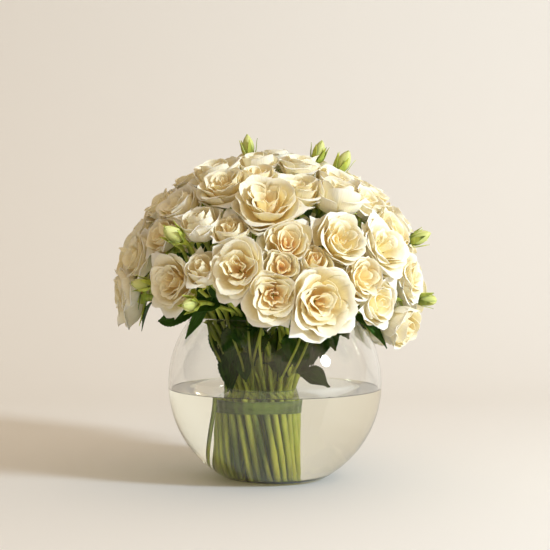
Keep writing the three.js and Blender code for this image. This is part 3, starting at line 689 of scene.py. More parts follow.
def select_points(piece, wanted):
    """Selects the points of a piece, in object mode, whose place passes the test."""
    piece.data.polygons.foreach_set("select", [False] * len(piece.data.polygons))
    piece.data.edges.foreach_set("select", [False] * len(piece.data.edges))
    piece.data.vertices.foreach_set("select", [bool(wanted(v.co)) for v in piece.data.vertices])
    piece.data.update()


bpy.ops.mesh.primitive_grid_add(x_subdivisions=PETAL_COLUMNS, y_subdivisions=PETAL_ROWS, size=2)
flat_petal = bpy.context.object
bpy.context.tool_settings.mesh_select_mode = (True, False, False)
row_places = sorted({round(v.co.y, 5) for v in flat_petal.data.vertices})
for place in row_places:
    along = (place + 1) / 2
    select_points(flat_petal, lambda co: abs(co.y - place) < ROW_SLACK)
    crowded = 1 - (1 - along) ** RIM_CROWDING
    bpy.ops.object.mode_set(mode="EDIT")
    bpy.ops.transform.resize(value=(base_width(crowded), 1, 1), center_override=(0, 0, 0))
    bpy.ops.object.mode_set(mode="OBJECT")
flat_points = np.array([v.co for v in flat_petal.data.vertices])
petal_across = flat_points[:, 0]
petal_along = 1 - (1 - (flat_points[:, 1] + 1) / 2) ** RIM_CROWDING
petal_along = petal_along * (1 - RIM_ROUNDING * np.abs(petal_across) ** RIM_ROUNDNESS)
petal_faces = np.array([list(face.vertices) for face in flat_petal.data.polygons])
bpy.data.objects.remove(flat_petal)
print("flat petal:", len(flat_points), "points,", len(petal_faces), "faces")

# %% [markdown]
# From flat petals to a bloom
#
# A rose is a spiral of petals, each a golden angle on from the last. Near the heart they wrap tightly
# and stand up; further out they are wide, lie back and roll at the rim. Four stations along the way say
# how a petal rises, as a curve of distance from the axis and height, and how far round it wraps. Every
# petal in between takes its share of the two nearest stations. Hand tools can't bend well over a thousand
# petals this way, so the bending is written as a formula.

# %% Stations of each kind of bloom
# share of the way out, four (distance, height) points of the petal's rise, half wrap in radians
STATIONS = {
    "grand": [
        (0.0, [(0.02, -0.45), (0.12, -0.20), (0.08, 0.12), (0.11, 0.26)], 1.9),
        (0.3, [(0.05, -0.50), (0.28, -0.38), (0.24, 0.16), (0.34, 0.33)], 1.15),
        (0.55, [(0.08, -0.54), (0.52, -0.46), (0.46, 0.16), (0.62, 0.39)], 0.95),
        (0.8, [(0.09, -0.58), (0.72, -0.52), (0.70, 0.08), (0.95, 0.29)], 0.85),
        (1.0, [(0.10, -0.62), (0.92, -0.66), (0.90, -0.04), (1.09, 0.08)], 0.78),
        (1.25, [(0.10, -0.64), (0.96, -0.74), (1.02, -0.26), (1.11, -0.15)], 0.76),
    ],
    "open": [
        (0.0, [(0.02, -0.45), (0.14, -0.25), (0.08, 0.04), (0.12, 0.18)], 1.9),
        (0.3, [(0.05, -0.50), (0.34, -0.40), (0.28, 0.14), (0.38, 0.32)], 1.2),
        (0.6, [(0.08, -0.56), (0.60, -0.54), (0.56, 0.18), (0.70, 0.39)], 1.0),
        (1.0, [(0.10, -0.64), (0.94, -0.70), (0.90, 0.02), (1.07, 0.12)], 0.85),
        (1.25, [(0.10, -0.64), (0.96, -0.76), (1.03, -0.24), (1.11, -0.13)], 0.82),
    ],
    "small": [
        (0.0, [(0.02, -0.42), (0.16, -0.20), (0.09, 0.10), (0.12, 0.22)], 1.8),
        (0.4, [(0.06, -0.50), (0.50, -0.46), (0.44, 0.18), (0.46, 0.34)], 1.15),
        (0.72, [(0.08, -0.58), (0.82, -0.64), (0.78, 0.24), (0.78, 0.36)], 0.95),
        (1.0, [(0.10, -0.66), (1.00, -0.76), (0.99, 0.10), (1.05, 0.14)], 0.85),
        (1.25, [(0.10, -0.66), (0.98, -0.78), (1.05, -0.18), (1.10, -0.11)], 0.82),
    ],
    "cup": [
        (0.0, [(0.02, -0.30), (0.16, -0.10), (0.09, 0.30), (0.12, 0.44)], 1.8),
        (0.4, [(0.06, -0.50), (0.54, -0.44), (0.42, 0.40), (0.36, 0.56)], 1.2),
        (0.75, [(0.08, -0.66), (0.92, -0.76), (0.82, 0.36), (0.68, 0.60)], 1.0),
        (1.0, [(0.10, -0.72), (1.08, -0.86), (1.02, 0.22), (0.96, 0.52)], 0.92),
        (1.25, [(0.10, -0.72), (1.04, -0.86), (1.07, 0.00), (1.10, 0.22)], 0.90),
    ],
    "bud": [
        (0.0, [(0.05, 0.0), (0.30, 0.40), (0.24, 1.70), (0.03, 2.40)], 1.9),
        (0.5, [(0.05, -0.20), (0.78, -0.05), (0.84, 1.45), (0.06, 2.35)], 1.5),
        (1.0, [(0.05, -0.35), (0.95, -0.20), (1.02, 1.40), (0.20, 2.20)], 1.2),
    ],
}
PETAL_COUNT = {"grand": 26, "open": 20, "small": 14, "cup": 12, "bud": 6}
BACK_PETAL_COUNT = {"small": 13, "open": 18}
SKIRT_PETALS = 5
SKIRT_REACH = 0.25
print("kinds of bloom:", ", ".join(STATIONS))

# %% [markdown]
# Bending and pressing the petals
#
# Each petal gets small differences: a turn, a lean, a wave along its rim, one side tucked in and one
# side out, so that it laps over the next. Then the whole bloom is pressed against its neighbours. The
# closer a point comes to the flat limit between two blooms, the less further it can go, so petals crowd
# against the limit and hardly cross it. The lowest petals stretch to close the gap to a near neighbour, and
# all are eased inwards close to the model's left and right sides, so that none passes them.

# %% Bending functions
PRESS_FROM = 0.74
PRESS_SLACK = 1.4
HEART_GROWTH = 0.72
HEART_SHIFT = 0.09
PETAL_THICKNESS = 0.32
QUARTER_WRAP = 0.78
TURN_SPREAD = 0.15
WIDEST_GAP = 1.75
GAP_SHARE = 0.94
SIDE_KNEE = 144.0
SIDE_LIMIT = 150.8
LEVEL_SLOPE = 0.02
LEAST_ROOM = 0.12
BUD_LOOSENESS = 0.25
BUD_TUCK = 0.6
LEAN_SPREAD = 0.075
LEAN_BY_CORNER = [0, 0.2, 0.6, 1.0]
RISE_SPREAD = 0.026
WIDTH_SPREAD = 0.06
TUCK, TUCK_SPREAD = 0.07, 0.02
HEART_TUCK, TUCK_FADES = 1.2, 0.5
WAVE_RANGE = (0.06, 0.17)
WAVES_RANGE = (2.0, 4.6)
HEART_WAVE = 0.45
WAVE_OUT, WAVE_UP = 0.8, 0.5
FRILL = 0.02
FRILLS_RANGE = (8, 12)
CURL_RANGE = (0.03, 0.15)
CURL_FROM = 0.72
HEART_CURL = 0.3
CURL_OUT, CURL_DOWN = 0.7, 0.8
ROLL = 0.08
TIP_RANGE = (-0.03, 0.07)
TIP_HALF = 0.3
HEART_DEPTH, BASE_DEPTH = 0.55, 0.5
MAP_WIDTH = 0.5
MAP_STEP = (0.37, 1.7)


def station_at(kind, share):
    stations = STATIONS[kind]
    shares = [station[0] for station in stations]
    rises = np.array([station[1] for station in stations])
    rise = np.array([[np.interp(share, shares, rises[:, k, c]) for c in (0, 1)] for k in range(4)])
    return rise, np.interp(share, shares, [station[2] for station in stations])


def cubic(corners, t):
    """The curve that four corners draw, at the shares t of its length."""
    weights = np.array([(1 - t) ** 3, 3 * t * (1 - t) ** 2, 3 * t**2 * (1 - t), t**3])
    return np.asarray(corners).T @ weights


def bend_petal(kind, share, turn, rng, widest=math.pi):
    """One petal of a bloom of radius 1 that faces up, wrapped no further round than widest."""
    rise, wrap = station_at(kind, share)
    wrap = min(wrap, widest)
    loose = BUD_LOOSENESS if kind == "bud" else 1.0
    lean = rng.normal(0, LEAN_SPREAD) * loose
    spread = rng.normal(0, RISE_SPREAD, rise.shape) * loose
    t = petal_along
    out, height = cubic(rise + spread + np.outer(LEAN_BY_CORNER, [lean, -lean]), t)
    side = petal_across * (1 + rng.normal(0, WIDTH_SPREAD))
    tuck = rng.normal(TUCK, TUCK_SPREAD) * (BUD_TUCK if kind == "bud" else 1)
    wave = rng.uniform(*WAVE_RANGE) * (HEART_WAVE + share) * loose
    phase = rng.uniform(0, 2 * math.pi)
    ripple = wave * np.sin(side * rng.uniform(*WAVES_RANGE) + phase) * t**2.5
    frill = FRILL * loose * np.sin(side * rng.uniform(*FRILLS_RANGE) + phase) * t**6
    out = out * (1 + tuck * side * (HEART_TUCK - TUCK_FADES * share)) + WAVE_OUT * ripple + frill
    past_curl = np.clip((t - CURL_FROM) / (1 - CURL_FROM), 0, 1)
    curl = rng.uniform(*CURL_RANGE) * (HEART_CURL + share) * loose * past_curl**2
    roll = ROLL * share * np.abs(side) ** 2.2 * t**2
    height = height - roll - CURL_DOWN * curl + WAVE_UP * ripple * np.cos(phase)
    tip = rng.uniform(*TIP_RANGE) * share * loose * np.exp(-((side / TIP_HALF) ** 2)) * t**4
    angle = turn + wrap * side
    far = out + CURL_OUT * curl + tip
    return np.stack([far * np.cos(angle), far * np.sin(angle), height], axis=1)


def ease_sides(points):
    """Eases the points that come close to the model's left or right side back inside it."""
    across = np.abs(points[:, 0])
    past = SIDE_LIMIT - SIDE_KNEE
    eased = SIDE_KNEE + past * np.tanh((across - SIDE_KNEE) / past)
    points[:, 0] = np.sign(points[:, 0]) * np.where(across > SIDE_KNEE, eased, across)
    return points


def press_in(head, local, stretch=0.0):
    """Places points of a bloom of radius 1 on its head, crowded against the limits of its neighbours.

    Where stretch is near 1, a point reaches out to a limit that lies a little further than the bloom does.
    """
    flat = local[:, :2] * head.radius
    level = local[:, 2] * head.radius
    level = level * np.where(level > 0, head.share_up, head.share_down)
    out = np.maximum(np.linalg.norm(flat, axis=1), 1e-6)
    direction = (flat / out[:, None]) @ np.stack([head.east, head.north])
    along = level[:, None] * (head.toward @ head.axis)[None]
    slope = direction @ head.toward.T
    room = (head.reach[None] + PRESS_SLACK - along) / np.maximum(slope, LEVEL_SLOPE)
    room = np.where(slope > LEVEL_SLOPE, room, np.inf)
    most = np.maximum(room.min(axis=1, initial=2 * head.radius), LEAST_ROOM * head.radius)
    used = out / most
    crowded = PRESS_FROM + (1 - PRESS_FROM) * np.tanh((used - PRESS_FROM) / (1 - PRESS_FROM))
    pressed = np.where(used > PRESS_FROM, crowded, used) * most
    stretched = np.where(most < WIDEST_GAP * head.radius, stretch * GAP_SHARE * most, 0.0)
    pressed = np.maximum(pressed, stretched)
    return ease_sides(head.centre + direction * pressed[:, None] + level[:, None] * head.axis)


def shape_bloom(head, count, rng, warmth_scale):
    points, warmth, maps, faces, stretch = [], [], [], [], []
    start = rng.uniform(0, 2 * math.pi)
    sideways = np.array([math.cos(start), math.sin(start), 0])
    shift = HEART_SHIFT * rng.uniform(0, 1) * (head.kind != "bud") * sideways
    skirt = SKIRT_PETALS if head.kind != "bud" else 0
    for k in range(count + skirt):
        share = ((k + 0.5) / count) ** HEART_GROWTH
        if k >= count:
            share = 1 + SKIRT_REACH * (k - count + 1) / skirt
        quartered = head.name in QUARTERED and share < QUARTERED_TO
        step = (k % 4) * math.pi / 2 if quartered else k * GOLDEN_ANGLE
        turn = start + step + rng.normal(0, TURN_SPREAD)
        petal = bend_petal(head.kind, share, turn, rng, QUARTER_WRAP if quartered else math.pi)
        petal += shift * max(0.0, 1 - share)
        faces.append(petal_faces + len(points) * len(petal))
        points.append(petal)
        stretch.append(petal_along**2 * (k >= count))
        depth = HEART_DEPTH * max(0.0, 1 - share) ** 1.3 + BASE_DEPTH * (1 - petal_along) ** 1.1
        warmth.append(np.clip(depth * warmth_scale, 0, 1))
        maps.append(np.stack([petal_across * MAP_WIDTH, petal_along], axis=1) + np.multiply(MAP_STEP, k))
    local = np.concatenate(points)
    placed = press_in(head, local, np.concatenate(stretch))
    return placed, np.concatenate(faces), np.concatenate(warmth), np.concatenate(maps)


# %% [markdown]
# Making the blooms
#
# The hearts differ: some blooms in the photograph are nearly white, some glow peach. The ones that stand
# out are listed with how warm they are, and the rest lie in between and differ with their place. Some large
# ones are quartered, as garden roses are: their inner petals stand in four bundles. Each piece is given its
# thickness last, so pressing never squeezes a petal thinner.

# %% Blooms and bud petals
HEART_WARMTH = {
    "rose_01": 1.0, "rose_02": 1.15, "rose_03": 0.8, "rose_04": 0.5, "rose_05": 0.5, "rose_06": 0.65,
    "rose_07": 0.9, "rose_10": 0.55, "rose_12": 0.95, "rose_24": 1.0, "rose_25": 1.15, "rose_26": 0.95,
    "rose_27": 1.15, "rose_28": 1.15, "rose_29": 1.0, "rose_30": 0.6,
}
PLAIN_WARMTH = 0.7
WARMTH_SPREAD = 0.25
QUARTERED = {f"rose_{number}" for number in ("01", "03", "04", "12", "15", "22", "24", "25", "29")}
QUARTERED_TO = 0.6
BUD_WARMTH = 1.6


def make_bloom_piece(name, members, seed):
    rng = np.random.default_rng(seed)
    blooms = []
    total = 0
    for head in members:
        counts = BACK_PETAL_COUNT if head.name.startswith("rose_back") else PETAL_COUNT
        plain = PLAIN_WARMTH + WARMTH_SPREAD * math.sin(head.centre[0] + 2 * head.centre[2])
        glow = BUD_WARMTH if head.kind == "bud" else HEART_WARMTH.get(head.name, plain)
        placed, quads, warmth, one_map = shape_bloom(head, counts[head.kind], rng, glow)
        blooms.append((placed, quads + total, warmth, one_map))
        total += len(placed)
    points, faces, warmth, maps = (np.concatenate(part) for part in zip(*blooms))
    piece = mesh_piece(name, points, faces, {"petal": maps, "warmth": warmth})
    thicken(piece, PETAL_THICKNESS)
    is_bud = members[0].kind == "bud"
    material, slot = (bud_skin, "buds") if is_bud else (petal_skin, "petals")
    finish_piece(piece, f"{name}_petals", material, [name])
    return len(piece.data.polygons)


bloom_faces = [make_bloom_piece(name, members, seed) for seed, (name, members) in enumerate(groups.items())]
print("petal faces:", sum(bloom_faces))

# %% [markdown]
# The spiral of stems
#
# The stems cross at the tie, where the hand held them, and fan out below and above it. An outer ring of
# stems and an inner one carry the blooms, and two more rings fill the middle, where the bunch is tight.

# %% Stems in their rings
TIE_Z = 72.0
TIE_MIDDLE_X = -12.0
FOOT_MIDDLE_X = -14.0
STEM_LEAN = math.tan(math.radians(12))
STEM_FLARE = 0.32
STRAIGHT_HALF = 7.0
STEM_RADIUS = 2.75
FOOT_CLEARANCE = 1.0
FOOT_UNEVENNESS = 2.5
OUTER_STEMS = 24
OUTER_RING_RADIUS = 26.9
OUTER_NECK_Z = 126.0
INNER_STEMS = 7
INNER_RING_RADIUS = 15.0
INNER_NECK_Z = 140.0
FILLER_STEMS = 15
FILLER_RING_RADIUS = 20.9
FILLER_NECK_Z = 118.0
CORE_STEMS = 5
CORE_RING_RADIUS = 7.5
STALK_SINK = 2
BRANCH_STEP = 9
TOP_HEAD_SLOPE = 0.78


def bunch_middle(z):
    lean = (z - FLOOR_Z) / (TIE_Z - FLOOR_Z)
    return np.array([FOOT_MIDDLE_X + (TIE_MIDDLE_X - FOOT_MIDDLE_X) * lean, 0.0, z])


def stem_point(stem, z):
    outward = np.array([math.cos(stem.angle), math.sin(stem.angle), 0.0])
    sideways = np.array([-math.sin(stem.angle), math.cos(stem.angle), 0.0])
    climb = max(0.0, z - TIE_Z - STRAIGHT_HALF)
    out = stem.distance + climb * STEM_FLARE * stem.distance / OUTER_RING_RADIUS
    return bunch_middle(z) + outward * out + sideways * (TIE_Z - z) * STEM_LEAN


def ring_of_stems(count, ring_radius, neck_z):
    return [
        SimpleNamespace(
            angle=2 * math.pi * (k + 0.5) / count,
            distance=ring_radius,
            foot_z=FLOOR_Z + FOOT_CLEARANCE + FOOT_UNEVENNESS * (1 + math.sin(GOLDEN_ANGLE * k)),
            neck_z=neck_z,
            branches=0,
        )
        for k in range(count)
    ]


outer_stems = ring_of_stems(OUTER_STEMS, OUTER_RING_RADIUS, OUTER_NECK_Z)
inner_stems = ring_of_stems(INNER_STEMS, INNER_RING_RADIUS, INNER_NECK_Z)
filler_stems = ring_of_stems(FILLER_STEMS, FILLER_RING_RADIUS, FILLER_NECK_Z)
filler_stems += ring_of_stems(CORE_STEMS, CORE_RING_RADIUS, FILLER_NECK_Z)
print("stems:", len(outer_stems) + len(inner_stems) + len(filler_stems))

# %% [markdown]
# Stalks from the stems to the blooms
#
# Each bloom's stalk leaves its stem a little under the stem's top, so that each stem branches. A stalk that
# must cross the bowl's rim rises over it first. The corners of each line are rounded off over a short way,
# because a green stem bends and never folds.

# %% Lines of the stalks
HIP_LENGTH = 8
RIM_RADIUS = 80
OVER_RIM_RADIUS = 70
OVER_RIM_Z = 158
LOOSE_STEM_HEAD = "rose_20"
LOOSE_STEM_LINE = [(-45, -34, 116), (-45, -18.5, 71), (-55.5, -12, 12.2)]
STALK_RADIUS = 1.7
CORNER_CUT = 7.0
MOST_CUT = 0.4
CORNER_SHARES = (0, 0.25, 0.5, 0.75, 1)
STALK_SPACING = 4.5
LEAST_PARTS = 4
STEM_SPACING = 6.0
WANDER = 0.9
HIP_IN_BLOOM = 0.62


def stalk_line(head, neck):
    top = head.foot - head.axis * GAP
    under = top - head.axis * HIP_LENGTH
    line = [top, under]
    outer, inner = math.hypot(*under[:2]), math.hypot(*neck[:2])
    height_at_rim = neck[2] + (RIM_RADIUS - inner) * (under[2] - neck[2]) / (outer - inner)
    if outer > RIM_RADIUS and height_at_rim < OVER_RIM_Z:
        inward = OVER_RIM_RADIUS / outer
        line.append(np.array([under[0] * inward, under[1] * inward, max(OVER_RIM_Z, height_at_rim)]))
    return [*line, neck]


def turn_of(place):
    return math.atan2(place[1] - DOME_CENTRE[1], place[0] - DOME_CENTRE[0])


def share_out(ring_heads, ring):
    """Gives the heads, in order round the bunch, to the stems of a ring in the same order."""
    ordered = sorted(ring, key=lambda stem: turn_of(stem_point(stem, stem.neck_z)))
    in_order = sorted(ring_heads, key=lambda head: turn_of(head.foot))
    for k, head in enumerate(in_order):
        stem = ordered[k * len(ordered) // len(in_order)]
        neck = stem_point(stem, stem.neck_z - STALK_SINK - BRANCH_STEP * stem.branches)
        head.stalk = stalk_line(head, neck)
        stem.branches += 1


def rounded_line(corners):
    line = [corners[0]]
    for before, corner, after in zip(corners, corners[1:], corners[2:]):
        back, onward = (
            (other - corner) * min(MOST_CUT, CORNER_CUT / np.linalg.norm(other - corner))
            for other in (before, after)
        )
        line += [corner + back * (1 - share) ** 2 + onward * share**2 for share in CORNER_SHARES]
    return np.array([*line, corners[-1]])


def lengths_along(line):
    return np.concatenate([[0], np.cumsum(np.linalg.norm(np.diff(line, axis=0), axis=1))])


def at_lengths(line, places):
    far = lengths_along(line)
    return np.stack([np.interp(places, far, line[:, k]) for k in range(3)], axis=-1)


def evenly_spaced(line, spacing):
    whole = lengths_along(line)[-1]
    places = np.linspace(0, whole, max(LEAST_PARTS, round(whole / spacing)) + 1)
    return at_lengths(line, places), places


on_bunch = [head for head in carried if head.name != LOOSE_STEM_HEAD]
share_out([head for head in on_bunch if head.outward[2] < TOP_HEAD_SLOPE], outer_stems)
share_out([head for head in on_bunch if head.outward[2] >= TOP_HEAD_SLOPE], inner_stems)
loose_head = by_name[LOOSE_STEM_HEAD]
loose_head.stalk = stalk_line(loose_head, np.array(LOOSE_STEM_LINE[0], float))
print("stalks:", len(on_bunch), "and the loose one")

# %% [markdown]
# Stems and stalks as round tubes
#
# Every stem is a curve with a round section whose thickness varies along it. It swells at the nodes,
# where leaves were stripped off, and at the hip under a bloom. The curves are then turned into a mesh.

# %% Stem tubes
SWAY_RANGE = (17, 30)
NODE_SPACING = 31
NODE_HALF = 4.0
NODE_SWELL = 0.14
TAPER_RANGE = (0.68, 1.0)
HIP_SWELL = [0.066, 0.1045, 0.0825, 0.0]
BRANCH_DEPTH = 0.5
BRANCH_RADIUS = 1.8


def tubes_piece(name, tubes, resolution):
    """Round tubes, each a line of points and a radius at each of them, in millimetres, as one mesh."""
    curve = bpy.data.curves.new(name, "CURVE")
    curve.dimensions = "3D"
    curve.bevel_depth = MM
    curve.bevel_resolution = resolution
    curve.use_fill_caps = True
    for line, radii in tubes:
        spline = curve.splines.new("POLY")
        spline.points.add(len(line) - 1)
        spline.points.foreach_set("co", np.column_stack([line * MM, np.ones(len(line))]).ravel())
        spline.points.foreach_set("radius", radii)
    piece = bpy.data.objects.new(name, curve)
    bpy.context.scene.collection.objects.link(piece)
    make_only_selected(piece)
    bpy.ops.object.convert(target="MESH")
    return bpy.context.object


def join_pieces(pieces):
    make_only_selected(pieces[0])
    for piece in pieces:
        piece.select_set(True)
    bpy.ops.object.join()
    return bpy.context.object


def stem_tube(stem, rng):
    heights = np.linspace(stem.foot_z, stem.neck_z, round((stem.neck_z - stem.foot_z) / STEM_SPACING) + 1)
    line = np.array([stem_point(stem, z) for z in heights])
    sway = WANDER * np.sin(heights / rng.uniform(*SWAY_RANGE) + rng.uniform(0, 2 * math.pi, (2, 1)))
    line[:, :2] += sway.T
    from_node = (heights + rng.uniform(0, NODE_SPACING - 1)) % NODE_SPACING - (NODE_SPACING - 1) / 2
    nodes = np.exp(-((from_node / NODE_HALF) ** 2))
    taper = rng.uniform(*TAPER_RANGE)
    return line, STEM_RADIUS * (taper + NODE_SWELL * nodes)


def hip_and_stalk(head, corners):
    inside = head.centre - head.axis * (HIP_IN_BLOOM * head.radius * head.share_down)
    line, far = evenly_spaced(rounded_line([inside, *corners]), STALK_SPACING)
    to_foot = np.linalg.norm(inside - corners[0])
    hip = np.interp(far, [0, to_foot * 0.6, to_foot + 1, to_foot + HIP_LENGTH], HIP_SWELL)
    return line, STALK_RADIUS + hip * head.radius


rng = np.random.default_rng(5)
thick = [stem_tube(stem, rng) for stem in outer_stems + inner_stems + filler_stems]
thin = [hip_and_stalk(head, head.stalk) for head in on_bunch]
for members in groups.values():
    for k, head in enumerate(members[1:], start=1):
        nearest = members[int(np.argmin([distance(head, other) for other in members[:k]]))]
        ends = [one.centre - one.axis * BRANCH_DEPTH * one.radius for one in (head, nearest)]
        thin.append((np.array(ends), np.full(2, BRANCH_RADIUS)))
        thin.append(hip_and_stalk(head, [head.foot, head.foot - head.axis * 3]))
stems_piece = join_pieces([tubes_piece("thick", thick, 4), tubes_piece("thin", thin, 2)])
loose_corners = [*loose_head.stalk, *(np.array(place, float) for place in LOOSE_STEM_LINE[1:])]
loose_piece = tubes_piece("loose", [hip_and_stalk(loose_head, loose_corners)], 4)
finish_piece(loose_piece, "loose_stem_tube", stem_skin, ["loose_stem"])
print("stem faces:", len(stems_piece.data.polygons))

# %% [markdown]
# Sepals
#
# Five narrow sepals sit under every bloom. Under an open rose they lie back along the outer petals. On a
# bud they clasp it and their tips stand away. They are cut from one small pattern and bent by the same
# pressing as the petals.

# %% Sepals under every head
SEPAL_COUNT = 5
SEPAL_ROWS = np.linspace(0, 1, 8)
SEPAL_HALF = 0.17
BUD_SEPAL_WIDTH = 1.9
SEPAL_SWELL = 0.6
SEPAL_CUP = 0.25
SEPAL_THICKNESS = 0.4
ROSE_SEPAL = [(0.10, -0.78), (0.42, -0.84), (0.80, -0.60), (1.02, -0.52)]
BUD_SEPAL = [(0.22, -0.60), (1.00, -0.25), (0.84, 0.95), (1.16, 1.75)]


def sepal_faces():
    rows = len(SEPAL_ROWS)
    return np.array([
        [3 * row + side, 3 * row + side + 1, 3 * row + side + 4, 3 * row + side + 3]
        for row in range(rows - 1) for side in (0, 1)
    ])


def bend_sepal(head, turn, rng):
    t = SEPAL_ROWS
    is_bud = head.kind == "bud"
    out, height = cubic(BUD_SEPAL if is_bud else ROSE_SEPAL, t)
    half = SEPAL_HALF * (BUD_SEPAL_WIDTH if is_bud else 1.0) * (1 - t) ** 0.7
    half = half * (1 + SEPAL_SWELL * np.sin(math.pi * t))
    across = (half[:, None] * [-1.0, 0.0, 1.0]).ravel()
    out = np.repeat(out * rng.uniform(0.85, 1.1), 3)
    height = np.repeat(height, 3) + SEPAL_CUP * np.abs(across)
    x = out * math.cos(turn) - across * math.sin(turn)
    y = out * math.sin(turn) + across * math.cos(turn)
    return press_in(head, np.stack([x, y, height], axis=1))


sepal_points, sepal_quads = [], []
for head in heads:
    first_turn = rng.uniform(0, 2 * math.pi)
    for k in range(SEPAL_COUNT):
        sepal_quads.append(sepal_faces() + 3 * len(SEPAL_ROWS) * len(sepal_points))
        sepal_points.append(bend_sepal(head, first_turn + 2 * math.pi * k / SEPAL_COUNT, rng))
sepals = mesh_piece("sepals", np.concatenate(sepal_points), np.concatenate(sepal_quads), {})
thicken(sepals, SEPAL_THICKNESS)
greens = join_pieces([stems_piece, sepals])
finish_piece(greens, "stems_and_stalks", stem_skin, ["stem_bunch"])
print("green faces:", len(greens.data.polygons))

# %% [markdown]
# One flat leaf
#
# A rose leaflet is oval with a point and about a dozen small teeth on each side. Its pattern is a grid
# again. Its first quarter is the narrow stalk, and from there every other row is drawn in a little, which
# makes the teeth.

# %% Flat leaf
LEAF_COLUMNS = 6
LEAF_ROWS = 34
LEAF_STALK_SHARE = 0.25
LEAF_STALK_HALF = 0.8
LEAF_SWELL = 0.75
LEAF_FOLD = 0.25
LEAF_FACE_RISE = 0.6
LEAF_THICKNESS = 0.45
TOOTH_DEPTH = 0.09

bpy.ops.mesh.primitive_grid_add(x_subdivisions=LEAF_COLUMNS, y_subdivisions=LEAF_ROWS, size=2)
flat_leaf = bpy.context.object
leaf_rows = sorted({round(v.co.y, 5) for v in flat_leaf.data.vertices})
for number, place in enumerate(leaf_rows):
    in_blade = ((place + 1) / 2 - LEAF_STALK_SHARE) / (1 - LEAF_STALK_SHARE)
    swell = math.sin(math.pi * in_blade**LEAF_SWELL) if in_blade > 0 else 0.0
    tooth = 1.0 if number % 2 else 1 - TOOTH_DEPTH
    select_points(flat_leaf, lambda co: abs(co.y - place) < ROW_SLACK)
    bpy.ops.object.mode_set(mode="EDIT")
    bpy.ops.transform.resize(value=(max(0.001, swell * tooth), 1, 1), center_override=(0, 0, 0))
    bpy.ops.object.mode_set(mode="OBJECT")
flat_points = np.array([v.co for v in flat_leaf.data.vertices])
leaf_across = flat_points[:, 0]
leaf_along = (flat_points[:, 1] + 1) / 2
leaf_column = np.tile(np.linspace(-1, 1, LEAF_COLUMNS + 1), LEAF_ROWS + 1)
leaf_quads = np.array([list(face.vertices) for face in flat_leaf.data.polygons])
bpy.data.objects.remove(flat_leaf)
print("flat leaf:", len(flat_points), "points")

# %% [markdown]
# Bending the leaves
#
# A leaf follows a curve from its stalk to its tip, folded a little along its rib. Its edges wave, and the
# blade sinks between the side veins. The five leaves that show at the bowl's rim have their own places. The
# rest hang under the blooms, lie under the top of the dome and fill the bunch inside the bowl, which is why
# the gaps there look dark. Thin stalks carry those in the bunch and under the top of the dome up from the
# tape, and a few more stalks rise in front.

# %% Leaves
# name, bloom whose stalk it leaves, share of the way down that, distance off it, bend, tip, half width
LEAVES = [
    ("leaf_left", "rose_22", 0.4, 2.4, (-86, -80, 152), (-104, -62, 150), 11),
    ("leaf_inner", "rose_23", 0.15, 2.4, (-64, -92, 158), (-78, -88, 136), 7),
    ("leaf_front", "rose_24", 0.6, 2.2, (-42, -66, 152), (-18, -64, 124), 13),
    ("leaf_right", "rose_33", 0.25, 3.5, (86, -78, 150), (99, -68, 126), 7),
    ("leaf_rim", "rose_29", 0.35, 2.4, (72, -92, 158), (86, -94, 142), 6),
]
# number of the outer stem, height on it, bend, tip, half width
STEM_LEAVES = [
    (21, 100, (30, -34, 103), (50, -36, 88), 7),
    (15, 108, (-36, -50, 114), (-42, -56, 86), 9),
    (18, 110, (2, -44, 112), (12, -46, 98), 5),
]
# how far out and down the leaves under the low blooms at the back bend and end
COLLAR_BELOW_Z = 178
COLLAR_BEND = (8, 6)
COLLAR_TIP = (14, 32)
COLLAR_HALF = 9
# how far outward and sideways the leaves under the blooms bend and end
UNDER_BEND = (6, 10)
UNDER_TIP = (10, 24)
UNDER_HALF = 9
FACING_SPREAD = 0.3
LEAF_WAVE = 0.06
LEAF_WAVES_RANGE = (14, 22)
LEAF_STALK_RADIUS = 1.1
LEAF_STALK_FOOT_Z = 79.0
LEAF_STALK_UPRIGHT = 16.0
LEAF_STALK_SPREAD = 3.0
TOWARD_VIEWER = (0.0, -1.0, 0.35)
